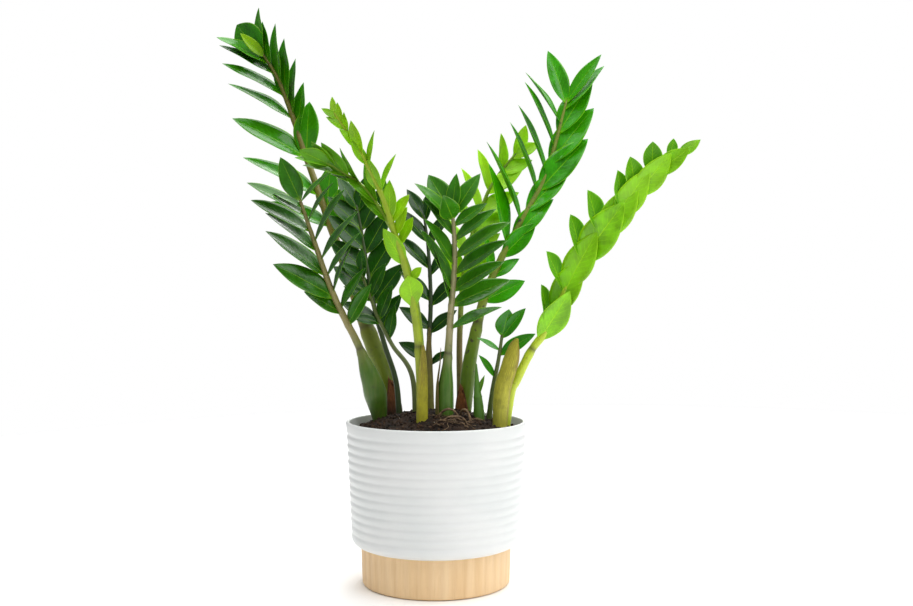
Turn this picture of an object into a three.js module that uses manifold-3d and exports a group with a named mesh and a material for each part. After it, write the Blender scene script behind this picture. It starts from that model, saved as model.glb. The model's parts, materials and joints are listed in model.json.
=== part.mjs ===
// A potted zz plant (Zamioculcas zamiifolia): arching fronds in a ribbed white pot on a wood-look base.
// Millimetres, +Z up. The origin is the centre of the base's underside; the plant faces -Y.
import * as THREE from 'three';
import { mergeVertices } from 'three/addons/utils/BufferGeometryUtils.js';
import Module from 'manifold-3d';

const wasm = await Module();
wasm.setup();

// ---------------------------------------------------------------- driving dimensions
const CLEARANCE = 0.3;            // gap between neighbouring pieces
const LEAF_GAP = 0.5;             // gap kept where leaves of two fronds would touch

const POT_HEIGHT = 181;           // rim above the ground
const RIM_RADIUS = 101.5;
const SHELL_FLARE = 7;            // how much wider the white shell is at its rim than at its foot
const SHELL_OVERHANG = 10;        // how far the shell stands out past the base
const POT_WALL = 4;
const POT_FLOOR = 5;
const SHOULDER_RISE = 10;         // height of the rounded underside of the shell

const BASE_HEIGHT = 43;           // wood-look base, from the ground to the shell
const BASE_TAPER = 1.5;
const BASE_WALL = 4;
const BASE_FLUTES = 40;
const FLUTE_DEPTH = 0.9;
const GROOVES = 13;
const GROOVE_DEPTH = 1.3;
const RIM_BAND = 9;               // smooth band under the lip

const SOIL_DROP = 14;             // soil edge below the rim, which leaves room for watering
const SOIL_MOUND = 25;            // rise of the soil towards the plant
const ROOTING = -31;              // how deep stems reach into the soil, from the rim
const PLANTED_RIM = 101.5;        // rim radius that the places of the stems were laid out for

const LEAF_THICKNESS = 1.5;

// ---------------------------------------------------------------- small helpers
const radians = (degrees) => degrees * Math.PI / 180;
const potLowRadius = RIM_RADIUS - SHELL_FLARE;
const baseRadius = potLowRadius - SHELL_OVERHANG;

// A place on the plant: X and Y spread with the pot, Z is measured from the rim.
const spread = RIM_RADIUS / PLANTED_RIM;
const planted = (p) => new THREE.Vector3(p[0] * spread, p[1] * spread, POT_HEIGHT + p[2]);

// Value at t (0..1) on evenly spaced knots; a plain number is the same everywhere.
function along(knots, t) {
  if (typeof knots === 'number') return knots;
  const x = Math.min(Math.max(t, 0), 1) * (knots.length - 1);
  const i = Math.min(Math.floor(x), knots.length - 2);
  return knots[i] + (knots[i + 1] - knots[i]) * (x - i);
}

// Repeatable scatter between -1 and 1.
function scatter(seed) {
  const s = Math.sin(seed * 12.9898 + 4.137) * 43758.5453;
  return 2 * (s - Math.floor(s)) - 1;
}

// A closed solid for joining and cutting, made from any closed three.js geometry.
function solidFrom(geometry) {
  const source = geometry.clone();
  source.deleteAttribute('normal');
  source.deleteAttribute('uv');
  const merged = mergeVertices(source, 1e-4);
  const position = merged.attributes.position;
  const index = merged.index.array;
  const triangles = [];
  let volume = 0;
  const a = new THREE.Vector3();
  const b = new THREE.Vector3();
  const c = new THREE.Vector3();
  for (let i = 0; i < index.length; i += 3) {
    const [p, q, r] = [index[i], index[i + 1], index[i + 2]];
    if (p === q || q === r || r === p) continue;
    triangles.push([p, q, r]);
    a.fromBufferAttribute(position, p);
    b.fromBufferAttribute(position, q);
    c.fromBufferAttribute(position, r);
    volume += a.dot(b.cross(c));
  }
  if (volume < 0) triangles.forEach((t) => t.reverse());
  return new wasm.Manifold(new wasm.Mesh({
    numProp: 3,
    vertProperties: new Float32Array(position.array),
    triVerts: new Uint32Array(triangles.flat()),
  }));
}

// The largest connected body of a solid: crumbs left by a cut are dropped.
function largestBody(solid) {
  const bodies = solid.decompose();
  bodies.sort((p, q) => q.volume() - p.volume());
  return bodies[0];
}

// Moves every vertex of a geometry by a function of its position.
function reshape(geometry, move) {
  const position = geometry.attributes.position;
  const p = new THREE.Vector3();
  for (let i = 0; i < position.count; i += 1) {
    p.fromBufferAttribute(position, i);
    const q = move(p);
    position.setXYZ(i, q.x, q.y, q.z);
  }
  return geometry;
}

// ---------------------------------------------------------------- stems, leaves and sheaths
const FACE = new THREE.Vector3(0, -1, 0);  // the way every frond faces

// Steady side directions along a curve, without twist.
function sidesAt(curve, t) {
  const tangent = curve.getTangentAt(t);
  const front = FACE.clone().addScaledVector(tangent, -FACE.dot(tangent)).normalize();
  const side = new THREE.Vector3().crossVectors(tangent, front).normalize();
  return { point: curve.getPointAt(t), tangent, front, side };
}

// A round stalk that follows a curve, with a radius knot list and rounded-off ends.
function stalk(curve, radii, rings, sides, grow = 0) {
  const geometry = new THREE.CylinderGeometry(1, 1, 1, sides, rings);
  return reshape(geometry, (p) => {
    const t = p.y + 0.5;
    const { point, front, side } = sidesAt(curve, t);
    const around = Math.hypot(p.x, p.z) > 0.5 ? 1 : 0;
    const radius = around * (along(radii, t) + grow);
    const angle = Math.atan2(p.z, p.x);
    return point.addScaledVector(front, radius * Math.sin(angle))
      .addScaledVector(side, radius * Math.cos(angle));
  });
}

// One leaflet: pointed at both ends, domed, its tip curling back.
// angle: from the stem to the leaflet; lean: towards the frond's face; roll: turn about its own length.
function leaflet(frame, hand, spec, grow = 0) {
  const { point, tangent, front, side } = frame;
  const outward = side.clone().multiplyScalar(hand);
  const [angle, lean, roll] = [spec.angle, spec.lean, spec.roll].map(radians);
  const ahead = tangent.clone().multiplyScalar(Math.cos(angle)).addScaledVector(outward, Math.sin(angle));
  ahead.multiplyScalar(Math.cos(lean)).addScaledVector(front, Math.sin(lean)).normalize();
  let normal = front.clone().addScaledVector(ahead, -front.dot(ahead)).normalize();
  const upward = tangent.clone().addScaledVector(ahead, -tangent.dot(ahead));
  upward.addScaledVector(normal, -upward.dot(normal)).normalize();
  normal = normal.multiplyScalar(Math.cos(roll)).addScaledVector(upward, Math.sin(roll));
  const across = new THREE.Vector3().crossVectors(ahead, normal);
  const curl = radians(spec.curl);
  const geometry = new THREE.SphereGeometry(1, 4, 4);
  return reshape(geometry, (p) => {
    const s = Math.acos(Math.min(1, Math.max(-1, p.y))) / Math.PI;
    const ring = Math.sqrt(Math.max(0, 1 - p.y * p.y));
    const [u, v] = ring > 1e-6 ? [p.x / ring, p.z / ring] : [0, 0];
    const halfWidth = 0.5 * spec.width * Math.sin(Math.PI * s ** spec.belly) ** 0.85;
    const halfDepth = 0.5 * LEAF_THICKNESS * Math.sin(Math.PI * s) ** 0.5;
    const drop = spec.length * s * s * curl / 2;
    const dome = 0.22 * halfWidth * u * u;
    return point.clone()
      .addScaledVector(ahead, spec.length * s * (1 - curl * curl * s * s / 6) + grow * Math.sign(s - 0.5))
      .addScaledVector(across, u * (halfWidth + (ring > 1e-6 ? grow : 0)))
      .addScaledVector(normal, v * (halfDepth + (ring > 1e-6 ? grow : 0)) - drop + dome);
  });
}

// All leaflets of one frond, as {frame, hand, spec}.
function leafletsOf(frond, curve) {
  const list = [];
  frond.rows.forEach((row, r) => {
    for (let i = 0; i < row.count; i += 1) {
      const k = row.count > 1 ? i / (row.count - 1) : 0;
      const seed = frond.seed + 31 * r + i;
      const length = along(row.length, k);
      list.push({
        frame: sidesAt(curve, Math.min(0.995, along(row.at, k))),
        hand: row.hand,
        spec: {
          angle: along(row.angle, k) + 3 * scatter(seed),
          lean: along(row.lean ?? 12, k) + 7 * scatter(seed + 0.3),
          roll: along(row.roll, k) + 4 * scatter(seed + 0.6),
          curl: along(row.curl ?? 8, k),
          width: length * along(row.width ?? 0.38, k),
          length,
          belly: along(row.belly ?? 0.9, k),
        },
      });
    }
  });
  return list;
}

// A whole frond in one body: stalk and leaflets grown together.
function frondSolid(frond, grow = 0) {
  const curve = new THREE.CatmullRomCurve3(frond.spine.map(planted), false, 'catmullrom', 0.5);
  const sides = Math.max(...frond.radii) > 5 ? 8 : 6;
  const stem = solidFrom(stalk(curve, frond.radii, frond.rings ?? 12, sides, grow));
  const leaves = leafletsOf(frond, curve)
    .map(({ frame, hand, spec }) => solidFrom(leaflet(frame, hand, spec, grow)));
  return wasm.Manifold.union([stem, ...leaves]);
}

// A papery sheath: a thin pointed wrap around part of a stalk. from, to: along the host's stem;
// turn: where its middle faces, 0 being the frond's face; span: how far around, in degrees.
function sheathSolid(host, sheath, grow = 0) {
  const curve = new THREE.CatmullRomCurve3(host.spine.map(planted), false, 'catmullrom', 0.5);
  const geometry = new THREE.BoxGeometry(1, 1, 1, 4, 5, 1);
  return solidFrom(reshape(geometry, (p) => {
    const up = p.y + 0.5;
    const { point, front, side } = sidesAt(curve, sheath.from + (sheath.to - sheath.from) * up);
    const wrap = radians(sheath.span) * (1 - 0.86 * up ** sheath.point);
    const angle = radians(sheath.turn) + 2 * p.x * (wrap / 2 + grow / 8);
    const stem = along(host.radii, sheath.from + (sheath.to - sheath.from) * up);
    const inner = stem + CLEARANCE + 0.3 + sheath.flare * up * up;
    const radius = inner + sheath.thick / 2 + p.z * (sheath.thick + 2 * grow);
    return point.addScaledVector(front, radius * Math.cos(angle))
      .addScaledVector(side, radius * Math.sin(angle));
  }));
}

// ---------------------------------------------------------------- the fronds
// spine: points on the stalk's middle line, from inside the soil to the tip.
// Rows: hand -1 is the frond's left rank, +1 its right one, as seen from its face.
const LEFT = -1;
const RIGHT = 1;

const FRONDS = [
  {
    name: 'frond_lime_centre', colour: '#8fc21f', seed: 3,
    spine: [[-15, -40, ROOTING], [-16, -43, 49], [-21, -51, 114], [-30, -59, 163], [-41, -66, 200],
      [-55, -72, 244], [-77, -79, 289], [-109, -88, 337]],
    radii: [5, 5.6, 5, 4.4, 4, 3.6, 3.2, 2.6, 2, 1.2],
    rows: [
      { hand: LEFT, count: 7, at: [0.53, 0.66, 0.74, 0.82, 0.87, 0.93, 0.965],
        width: [0.42, 0.4, 0.46, 0.44, 0.42, 0.42, 0.4],
        angle: [14, -14, -2, 9, 8, 18, 20], length: [46, 42, 38, 30, 28, 24, 20],
        roll: [18, 20, 30, 30, 40, 40, 30] },
      { hand: RIGHT, count: 11, at: [0.4, 0.48, 0.58, 0.61, 0.65, 0.74, 0.81, 0.85, 0.92, 0.95, 0.98],
        angle: [2, 48, 40, 33, 44, 44, 30, 10, 22, 26, 24],
        length: [40, 22, 36, 36, 36, 44, 40, 38, 22, 22, 18],
        width: [0.66, 0.5, 0.42, 0.4, 0.42, 0.32, 0.32, 0.42, 0.42, 0.4, 0.4],
        roll: [5, 30, 40, 50, 40, 64, 64, 40, 40, 30, 10], belly: [1.5, 1.2, 0.9, 0.9, 0.9] },
    ],
  },
  {
    name: 'frond_centre', colour: '#4f8a3c', seed: 11,
    spine: [[10, -20, ROOTING], [11, -23, 36], [14, -27, 80], [17, -34, 125], [21, -43, 177],
      [20, -50, 214], [18, -54, 231]],
    radii: [7, 8.5, 9.5, 8.5, 5.2, 4, 3.7, 3.4, 3.1, 2.8, 2.4, 1.6],
    rows: [
      { hand: LEFT, count: 5, at: [0.61, 0.67, 0.78, 0.9, 0.965], angle: [19, 28, 33, 33, 32],
        length: [67, 78, 64, 54, 59], roll: [68, 66, 60, 60, 62] },
      { hand: RIGHT, count: 7, at: [0.51, 0.61, 0.67, 0.74, 0.81, 0.88, 0.94],
        angle: [56, 60, 47, 47, 51, 50, 54], length: [65, 72, 68, 73, 75, 58, 44],
        roll: [70, 48, 56, 66, 62, 62, 48] },
      { hand: LEFT, count: 2, at: [0.97, 0.99], angle: [10, 25], length: [46, 52], width: 0.5,
        lean: [55, -20], roll: [0, 10] },
      { hand: RIGHT, count: 2, at: [0.98, 0.99], angle: [38, 12], length: [56, 44], lean: [-15, -5],
        roll: [35, 20] },
    ],
  },
  {
    name: 'frond_front_left', colour: '#35702f', seed: 23,
    spine: [[-61, 14, ROOTING + 8], [-69, 9, 27], [-77, 5, 54], [-88, 0, 85], [-102, -7, 114],
      [-117, -14, 148], [-135, -23, 202], [-149, -32, 246]],
    radii: [6, 8.5, 13.5, 10.5, 4.6, 4, 3.7, 3.4, 3.1, 2.7, 2.2, 1.6],
    rows: [
      { hand: LEFT, count: 7, at: [0.53, 0.6, 0.69, 0.79, 0.87, 0.94, 0.97],
        angle: [31, 32, 31, 29, 38, 38, 39], length: [50, 79, 83, 72, 74, 72, 35],
        roll: [44, 45, 66, 70, 70, 74, 60] },
      { hand: RIGHT, count: 8, at: [0.48, 0.64, 0.8, 0.99], angle: [51, 50, 42, 53, 53, 42, 46, 58],
        length: [58, 56, 57, 64, 74, 71, 54, 54], width: 0.34, roll: [44, 74, 74, 76, 76, 72] },
      { hand: LEFT, count: 1, at: 0.995, angle: 6, length: 52, width: 0.45, roll: 5, lean: 5 },
    ],
  },
  {
    name: 'frond_lime_left', colour: '#7db51c', seed: 131,
    spine: [[-13, -26, ROOTING], [-14, -27, 49], [-18, -33, 114], [-27, -41, 163], [-41, -46, 200],
      [-62, -51, 238], [-79, -54, 259], [-95, -57, 270], [-111, -60, 280], [-125, -62, 284]],
    radii: [3.2, 3.4, 3.2, 2.8, 2.6, 2.4, 2, 1.8, 1.2],
    rows: [
      { hand: LEFT, count: 5, at: [0.72, 0.78, 0.85, 0.9, 0.96], angle: [12, 16, 18, 14, 10],
        length: [42, 44, 42, 50, 40], width: 0.38, roll: [50, 55, 60, 60, 50] },
      { hand: RIGHT, count: 6, at: [0.71, 0.78, 0.85, 0.9, 0.945, 0.965], angle: [22, 16, 13, 20, 16, 4],
        length: [50, 48, 48, 46, 38, 36], width: [0.3, 0.3, 0.3, 0.4, 0.4, 0.55],
        roll: [45, 50, 70, 30, 30, 5] },
    ],
  },
  {
    name: 'frond_dark_right', colour: '#2f6b34', seed: 37,
    spine: [[56, 0, ROOTING], [63, -3, 29], [70, -9, 68], [74, -14, 97]],
    radii: [3.4, 3.4, 3, 2.6, 2.2, 1.6],
    rings: 10,
    rows: [
      { hand: LEFT, count: 2, at: [0.62, 0.86], angle: [40, 62], length: [34, 30], width: 0.3, roll: 55 },
      { hand: RIGHT, count: 2, at: [0.82, 0.97], angle: [45, 28], length: [48, 46], width: 0.36, roll: 40 },
      { hand: RIGHT, count: 1, at: 0.99, angle: 4, length: 32, width: 0.72, roll: 0 },
    ],
  },
  {
    name: 'frond_lime_right', colour: '#95c11f', seed: 41,
    spine: [[75, -14, ROOTING], [83, -16, 30], [90, -18, 47], [106, -23, 80], [122, -27, 103],
      [142, -34, 147], [161, -41, 182], [185, -47, 212], [215, -54, 249], [252, -61, 286], [272, -66, 298]],
    radii: [4.5, 5.2, 5, 4.2, 3.6, 3.2, 2.8, 2.4, 2, 1.4],
    rings: 16,
    rows: [
      { hand: LEFT, count: 8, at: [0.37, 0.48, 0.58, 0.66, 0.75, 0.81, 0.87, 0.93], width: 0.56,
        angle: [31, 44, 45, 49, 41, 50, 42, 31], length: [52, 52, 53, 55, 46, 42, 39, 26],
        roll: [64, 62, 60, 58, 45, 30, 10, 30], belly: 1.25 },
      { hand: RIGHT, count: 9, at: [0.33, 0.41, 0.49, 0.57, 0.65, 0.72, 0.8, 0.88, 0.965], width: 0.46,
        angle: [-8, -1, 2, 5, -3, -3, 0, 6, 1], length: [68, 71, 73, 84, 75, 67, 62, 48, 28],
        roll: [20, 16, 12, 10, 12, 14, 18, 20, 10], lean: 13 },
    ],
  },
  {
    name: 'frond_tall_right', colour: '#4c9a2a', seed: 53,
    spine: [[28, 28, ROOTING], [37, 28, 55], [46, 29, 101], [56, 32, 141], [77, 36, 188],
      [103, 43, 235], [127, 50, 279], [141, 56, 325], [154, 62, 373]],
    radii: [7.4, 8.6, 8.4, 7.2, 5.2, 4.4, 3.9, 3.5, 3, 2.6, 2.2, 1.4],
    rings: 16,
    rows: [
      { hand: LEFT, count: 8, at: [0.45, 0.55, 0.63, 0.72, 0.78, 0.86, 0.93, 0.99], width: 0.36,
        angle: [30, 38, 47, 49, 40, 39, 45, 33], length: [58, 100, 102, 90, 89, 84, 73, 66],
        roll: [62, 62, 71, 72, 72, 74, 64, 8] },
      { hand: RIGHT, count: 10, at: [0.39, 0.46, 0.52, 0.58, 0.66, 0.73, 0.81, 0.9, 0.97, 0.99],
        angle: [48, 30, 18, 15, 14, 11, 16, 19, 27, 20], length: [54, 38, 56, 66, 76, 84, 86, 76, 70, 70],
        width: [0.43, 0.43, 0.43, 0.43, 0.43, 0.43, 0.43, 0.43, 0.36, 0.27],
        roll: [5, 25, 5, 28, 30, 28, 34, 28, 46, 40] },
    ],
  },
  {
    name: 'frond_dark_mid_left', colour: '#27592d', seed: 61,
    spine: [[-24, 6, ROOTING], [-27, 8, 47], [-50, 11, 84], [-65, 12, 112], [-74, 13, 135], [-85, 14, 164]],
    radii: [2.8, 3, 2.8, 2.4, 2, 1.4],
    rings: 12,
    rows: [
      { hand: LEFT, count: 3, at: [0.72, 0.85, 0.97], angle: [48, 40, 30], length: [34, 36, 34],
        width: 0.42, roll: [40, 30] },
      { hand: RIGHT, count: 4, at: [0.62, 0.74, 0.87, 0.98], angle: [40, 45, 42, 20],
        length: [40, 44, 44, 36], width: 0.42, roll: [30, 45, 30] },
    ],
  },
  {
    name: 'frond_dark_centre', colour: '#285a2c', seed: 71,
    spine: [[-6, 28, ROOTING], [-9, 32, 72], [-7, 36, 135], [-10, 43, 194], [-15, 48, 235]],
    radii: [3.4, 3.4, 3, 2.8, 2.4, 2, 1.4],
    rings: 12,
    rows: [
      { hand: LEFT, count: 6, at: [0.37, 0.5, 0.62, 0.76, 0.88, 0.98], angle: [60, 55, 42, 40, 36, 22],
        length: [40, 44, 50, 54, 52, 42], width: 0.42, roll: [20, 30, 50, 30] },
      { hand: RIGHT, count: 6, at: [0.34, 0.48, 0.6, 0.73, 0.86, 0.97], angle: [50, 45, 42, 38, 34, 20],
        length: [30, 42, 50, 52, 50, 42], width: 0.42, roll: [50, 30, 50, 40] },
    ],
  },
  {
    name: 'frond_dark_back_left', colour: '#255429', seed: 83,
    spine: [[-42, 23, ROOTING], [-46, 25, 37], [-60, 29, 83], [-72, 36, 124], [-81, 43, 171],
      [-88, 50, 212], [-95, 56, 248]],
    radii: [3.2, 3.4, 3, 2.8, 2.4, 2, 1.4],
    rings: 12,
    rows: [
      { hand: LEFT, count: 6, at: [0.5, 0.61, 0.71, 0.81, 0.9, 0.98], angle: [42, 40, 38, 36, 34, 20],
        length: [50, 58, 60, 58, 54, 46], width: 0.46, roll: [40, 20, 30] },
      { hand: RIGHT, count: 6, at: [0.47, 0.58, 0.69, 0.79, 0.89, 0.97], angle: [46, 44, 42, 40, 36, 26],
        length: [50, 60, 62, 60, 56, 48], width: 0.46, roll: [30, 15, 30] },
    ],
  },
  {
    name: 'frond_lime_back', colour: '#84bb1e', seed: 97,
    spine: [[27, 60, ROOTING], [27, 60, 23], [27, 63, 100], [34, 68, 183], [57, 78, 256],
      [74, 84, 287], [95, 88, 313]],
    radii: [3.6, 3.8, 3.6, 3.2, 2.8, 2.4, 2, 1.3],
    rings: 12,
    rows: [
      { hand: LEFT, count: 7, at: [0.52, 0.6, 0.68, 0.76, 0.84, 0.92, 0.99],
        angle: [32, 36, 38, 38, 36, 32, 16], length: [54, 60, 62, 58, 52, 46, 40], width: 0.5,
        roll: [50, 60, 40] },
      { hand: RIGHT, count: 7, at: [0.5, 0.58, 0.66, 0.75, 0.83, 0.91, 0.98],
        angle: [36, 38, 38, 36, 34, 30, 18], length: [50, 56, 58, 56, 50, 44, 38], width: 0.5,
        roll: [25, 35, 25] },
    ],
  },
  {
    name: 'frond_tall_left', colour: '#4a8f2b', seed: 101,
    spine: [[-46, 51, ROOTING], [-60, 54, 41], [-78, 59, 88], [-102, 66, 153], [-122, 75, 207],
      [-140, 84, 256], [-163, 95, 318], [-180, 102, 366], [-196, 107, 406], [-218, 113, 442]],
    radii: [9, 11, 11, 8, 5.4, 4.9, 4.4, 3.9, 3.3, 2.6, 1.5],
    rings: 18,
    rows: [
      { hand: LEFT, count: 8, at: [0.53, 0.61, 0.71, 0.81, 0.87, 0.93, 0.96, 0.99],
        angle: [45, 39, 39, 37, 37, 28, 28, 8], length: [82, 102, 102, 89, 87, 79, 74, 58],
        lean: [12, 12, 12, 12, 12, 12, 12, 0],
        width: [0.4, 0.38, 0.36, 0.4, 0.74], roll: [52, 50, 48, 58, 62, 58, 62, -25] },
      { hand: RIGHT, count: 9, at: [0.5, 0.56, 0.71, 0.77, 0.82, 0.86, 0.9, 0.96, 0.99],
        angle: [33, 22, 20, 22, 20, 17, 13, 20, 22], length: [67, 64, 70, 64, 70, 76, 76, 54, 58],
        width: 0.48, roll: [14, 24, 12, 48, 54, 46, 56, 44, 52] },
      { hand: RIGHT, count: 1, at: 0.985, angle: -12, length: 40, width: 0.34, lean: 24, roll: 5 },
    ],
  },
];

// A new shoot: a pointed green spike, with one small scale leaf beside its tip.
const SHOOT = {
  name: 'shoot_green', colour: '#5f9a33', seed: 7,
  spine: [[48, -16, ROOTING + 4], [48, -17, 9], [46, -18, 37], [45, -18, 65]],
  radii: [5.5, 6.6, 6.2, 4.6, 2.6, 0.7],
  rings: 10,
  rows: [
    { hand: RIGHT, count: 1, at: 0.6, angle: 18, length: 26, width: 0.24, roll: 40 },
  ],
};

// ---------------------------------------------------------------- sheaths and roots
// The big sheath of the lime right frond stands free of its stalk, so it has a middle line of its own.
const FREE_SHEATH_LINE = {
  spine: [[70, -25, ROOTING], [73, -28, 31], [80, -31, 59], [87, -33, 81], [92, -34, 93]],
  radii: [4.5, 6.5, 7.5, 8, 7.6, 5.5],
};

// Sheaths wrap the host's stem from one place along it to another.
const SHEATHS = [
  { name: 'sheath_lime_centre', host: 'frond_lime_centre', colour: '#8a8a35', from: 0.03, to: 0.3,
    turn: 40, span: 190, point: 2.2, flare: 2.5, thick: 0.9 },
  { name: 'sheath_centre', host: 'frond_centre', colour: '#7d7a3c', from: 0.05, to: 0.42,
    turn: -80, span: 90, point: 1.8, flare: 3, thick: 0.9 },
  { name: 'sheath_tall_right', host: 'frond_tall_right', colour: '#6b4528', from: 0.02, to: 0.15,
    turn: -30, span: 200, point: 1.2, flare: 2.5, thick: 0.9 },
  { name: 'sheath_lime_right', host: 'sheath_lime_right_line', colour: '#9a9a3c', from: 0, to: 1,
    turn: -25, span: 220, point: 8, flare: 0, thick: 1.1 },
  { name: 'sheath_dark_centre', host: 'frond_dark_centre', colour: '#77783a', from: 0.05, to: 0.5,
    turn: 0, span: 170, point: 2, flare: 2, thick: 0.9 },
  { name: 'sheath_tall_left', host: 'frond_tall_left', colour: '#4a2c1a', from: 0.03, to: 0.14,
    turn: 25, span: 170, point: 1.2, flare: 2, thick: 0.9 },
];

// Surface roots: thin loops that rise from the soil and go back into it.
const ROOTS = [
  { name: 'root_front', path: [[2, -45, -21], [8, -50, 3], [20, -53, 10], [32, -49, 5], [38, -44, -21]] },
  { name: 'root_left', path: [[-2, -32, -21], [3, -37, 7], [14, -42, 17], [24, -38, 9], [29, -34, -21]] },
  { name: 'root_right', path: [[24, -18, -21], [27, -26, 9], [33, -32, 15], [38, -37, 6], [42, -42, -21]] },
];
const ROOT_RADII = [1.2, 1.4, 1.3, 1.2, 1];

// ---------------------------------------------------------------- pot, base and soil
const footRadius = baseRadius - BASE_WALL - CLEARANCE;
const footZ = BASE_WALL + CLEARANCE;
const floorZ = footZ + POT_FLOOR;
const shoulderZ = BASE_HEIGHT + CLEARANCE;

// Outer radius of the white shell at height z, without its grooves.
function shellRadius(z) {
  const k = (z - shoulderZ) / (POT_HEIGHT - shoulderZ);
  return potLowRadius + SHELL_FLARE * k;
}

// Heights where the pot's cavity widens from the foot to the shell, bottom first.
const cavityBends = [4, 9, 13, 18].map((rise) => shoulderZ + rise);

// Inner radius of the pot: narrow in the foot, then a wall's thickness inside the shell.
function cavityRadius(z) {
  const foot = footRadius - POT_WALL;
  const shell = shellRadius(Math.max(z, shoulderZ)) - POT_WALL - GROOVE_DEPTH;
  const widening = THREE.MathUtils.smoothstep(z, cavityBends[0], cavityBends[cavityBends.length - 1]);
  return foot + (shell - foot) * widening;
}

function potSolid() {
  const outline = [[0, footZ], [footRadius - 3, footZ], [footRadius, footZ + 3], [footRadius, shoulderZ]];
  for (let i = 0; i <= 4; i += 1) {
    const turn = radians(22.5 * i);
    const edge = shellRadius(shoulderZ + SHOULDER_RISE) - SHOULDER_RISE;
    outline.push([edge + SHOULDER_RISE * Math.sin(turn), shoulderZ + SHOULDER_RISE * (1 - Math.cos(turn))]);
  }
  const grooveStart = shoulderZ + SHOULDER_RISE;
  const pitch = (POT_HEIGHT - RIM_BAND - grooveStart) / GROOVES;
  for (let i = 0; i < GROOVES; i += 1) {
    for (const [step, depth] of [[0.3, 1], [0.7, 1], [1, 0]]) {
      const z = grooveStart + pitch * (i + step);
      outline.push([shellRadius(z) - GROOVE_DEPTH * depth, z]);
    }
  }
  outline.push([RIM_RADIUS, POT_HEIGHT - 1.6], [RIM_RADIUS - 1.2, POT_HEIGHT]);
  outline.push([RIM_RADIUS - POT_WALL, POT_HEIGHT], [cavityRadius(POT_HEIGHT - 6), POT_HEIGHT - 6]);
  for (const z of [...cavityBends.toReversed(), floorZ + 3]) {
    outline.push([cavityRadius(z), z]);
  }
  outline.push([cavityRadius(floorZ) - 3, floorZ], [0, floorZ]);
  const lathe = new THREE.LatheGeometry(outline.map(([r, z]) => new THREE.Vector2(r, z)), 36);
  lathe.rotateX(Math.PI / 2);
  return solidFrom(lathe);
}

function baseSolid() {
  const inner = baseRadius - BASE_WALL;
  const outside = [[0, 0], [baseRadius - BASE_TAPER - 1.5, 0], [baseRadius - BASE_TAPER, 1.5],
    [baseRadius, BASE_HEIGHT - 1], [baseRadius - 1, BASE_HEIGHT]];
  const inside = [[inner, BASE_HEIGHT], [inner, BASE_WALL], [0, BASE_WALL]];
  const outline = [...outside, ...inside];
  const sides = 3 * BASE_FLUTES;
  const lathe = new THREE.LatheGeometry(outline.map(([r, z]) => new THREE.Vector2(r, z)), sides);
  lathe.rotateX(Math.PI / 2);
  return solidFrom(reshape(lathe, (p) => {
    const radius = Math.hypot(p.x, p.y);
    if (radius < inner + 0.5) return p;
    const flute = 0.5 - 0.5 * Math.cos(BASE_FLUTES * Math.atan2(p.y, p.x));
    const k = (radius - FLUTE_DEPTH * flute) / radius;
    return new THREE.Vector3(p.x * k, p.y * k, p.z);
  }));
}

// Height of the soil: highest around the stems, a little lumpy all over.
function soilHeight(x, y) {
  const edge = Math.hypot(x, y) / RIM_RADIUS;
  const mound = SOIL_MOUND * (1 - edge ** 1.8);
  const lumps = 1.1 * Math.sin(x * 0.11 + 1) * Math.cos(y * 0.13) + 0.7 * Math.sin(x * 0.27 - y * 0.23);
  return POT_HEIGHT - SOIL_DROP + mound + lumps;
}

function soilSolid() {
  const bottom = floorZ + CLEARANCE;
  const wallTop = POT_HEIGHT - SOIL_DROP;
  const outline = [[0, bottom], [cavityRadius(floorZ) - 4, bottom]];
  for (const z of [floorZ + 4, ...cavityBends]) {
    outline.push([cavityRadius(z) - 2 * CLEARANCE, z + CLEARANCE]);
  }
  const topRadius = cavityRadius(wallTop) - 2 * CLEARANCE;
  for (const k of [1, 0.85, 0.65, 0.45, 0.24, 0]) {
    outline.push([topRadius * k, wallTop]);
  }
  const lathe = new THREE.LatheGeometry(outline.map(([r, z]) => new THREE.Vector2(r, z)), 28);
  lathe.rotateX(Math.PI / 2);
  return solidFrom(reshape(lathe, (p) => (
    p.z > wallTop - 0.01 ? new THREE.Vector3(p.x, p.y, soilHeight(p.x, p.y)) : p
  )));
}

function rootSolid(root, grow = 0) {
  const curve = new THREE.CatmullRomCurve3(root.path.map(planted), false, 'catmullrom', 0.5);
  return solidFrom(stalk(curve, ROOT_RADII, 8, 5, grow));
}

// ---------------------------------------------------------------- assembly
const plant = new THREE.Group();
plant.name = 'potted_zz_plant';

function addNode(name, solid, colour, roughness, metalness = 0) {
  const mesh = solid.getMesh();
  const geometry = new THREE.BufferGeometry();
  geometry.setAttribute('position', new THREE.BufferAttribute(new Float32Array(mesh.vertProperties), 3));
  geometry.setIndex(new THREE.BufferAttribute(new Uint32Array(mesh.triVerts), 1));
  geometry.computeVertexNormals();
  const material = new THREE.MeshStandardMaterial({ color: colour, roughness, metalness });
  const node = new THREE.Mesh(geometry, material);
  node.name = name;
  plant.add(node);
}

addNode('pot', potSolid(), '#e4e6e5', 0.45);
addNode('base', baseSolid(), '#d9b183', 0.6);

// Green pieces are laid down one after another, each trimmed clear of all the earlier ones.
const laid = [];
function layDown(name, solid, grown, colour, roughness) {
  const box = grown.boundingBox();
  const near = laid.filter(({ reach }) => (
    [0, 1, 2].every((a) => reach.min[a] < box.max[a] && reach.max[a] > box.min[a])
  ));
  const clear = near.reduce((body, other) => body.subtract(other.grown), solid);
  addNode(name, largestBody(clear), colour, roughness);
  laid.push({ grown, reach: box });
}

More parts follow.
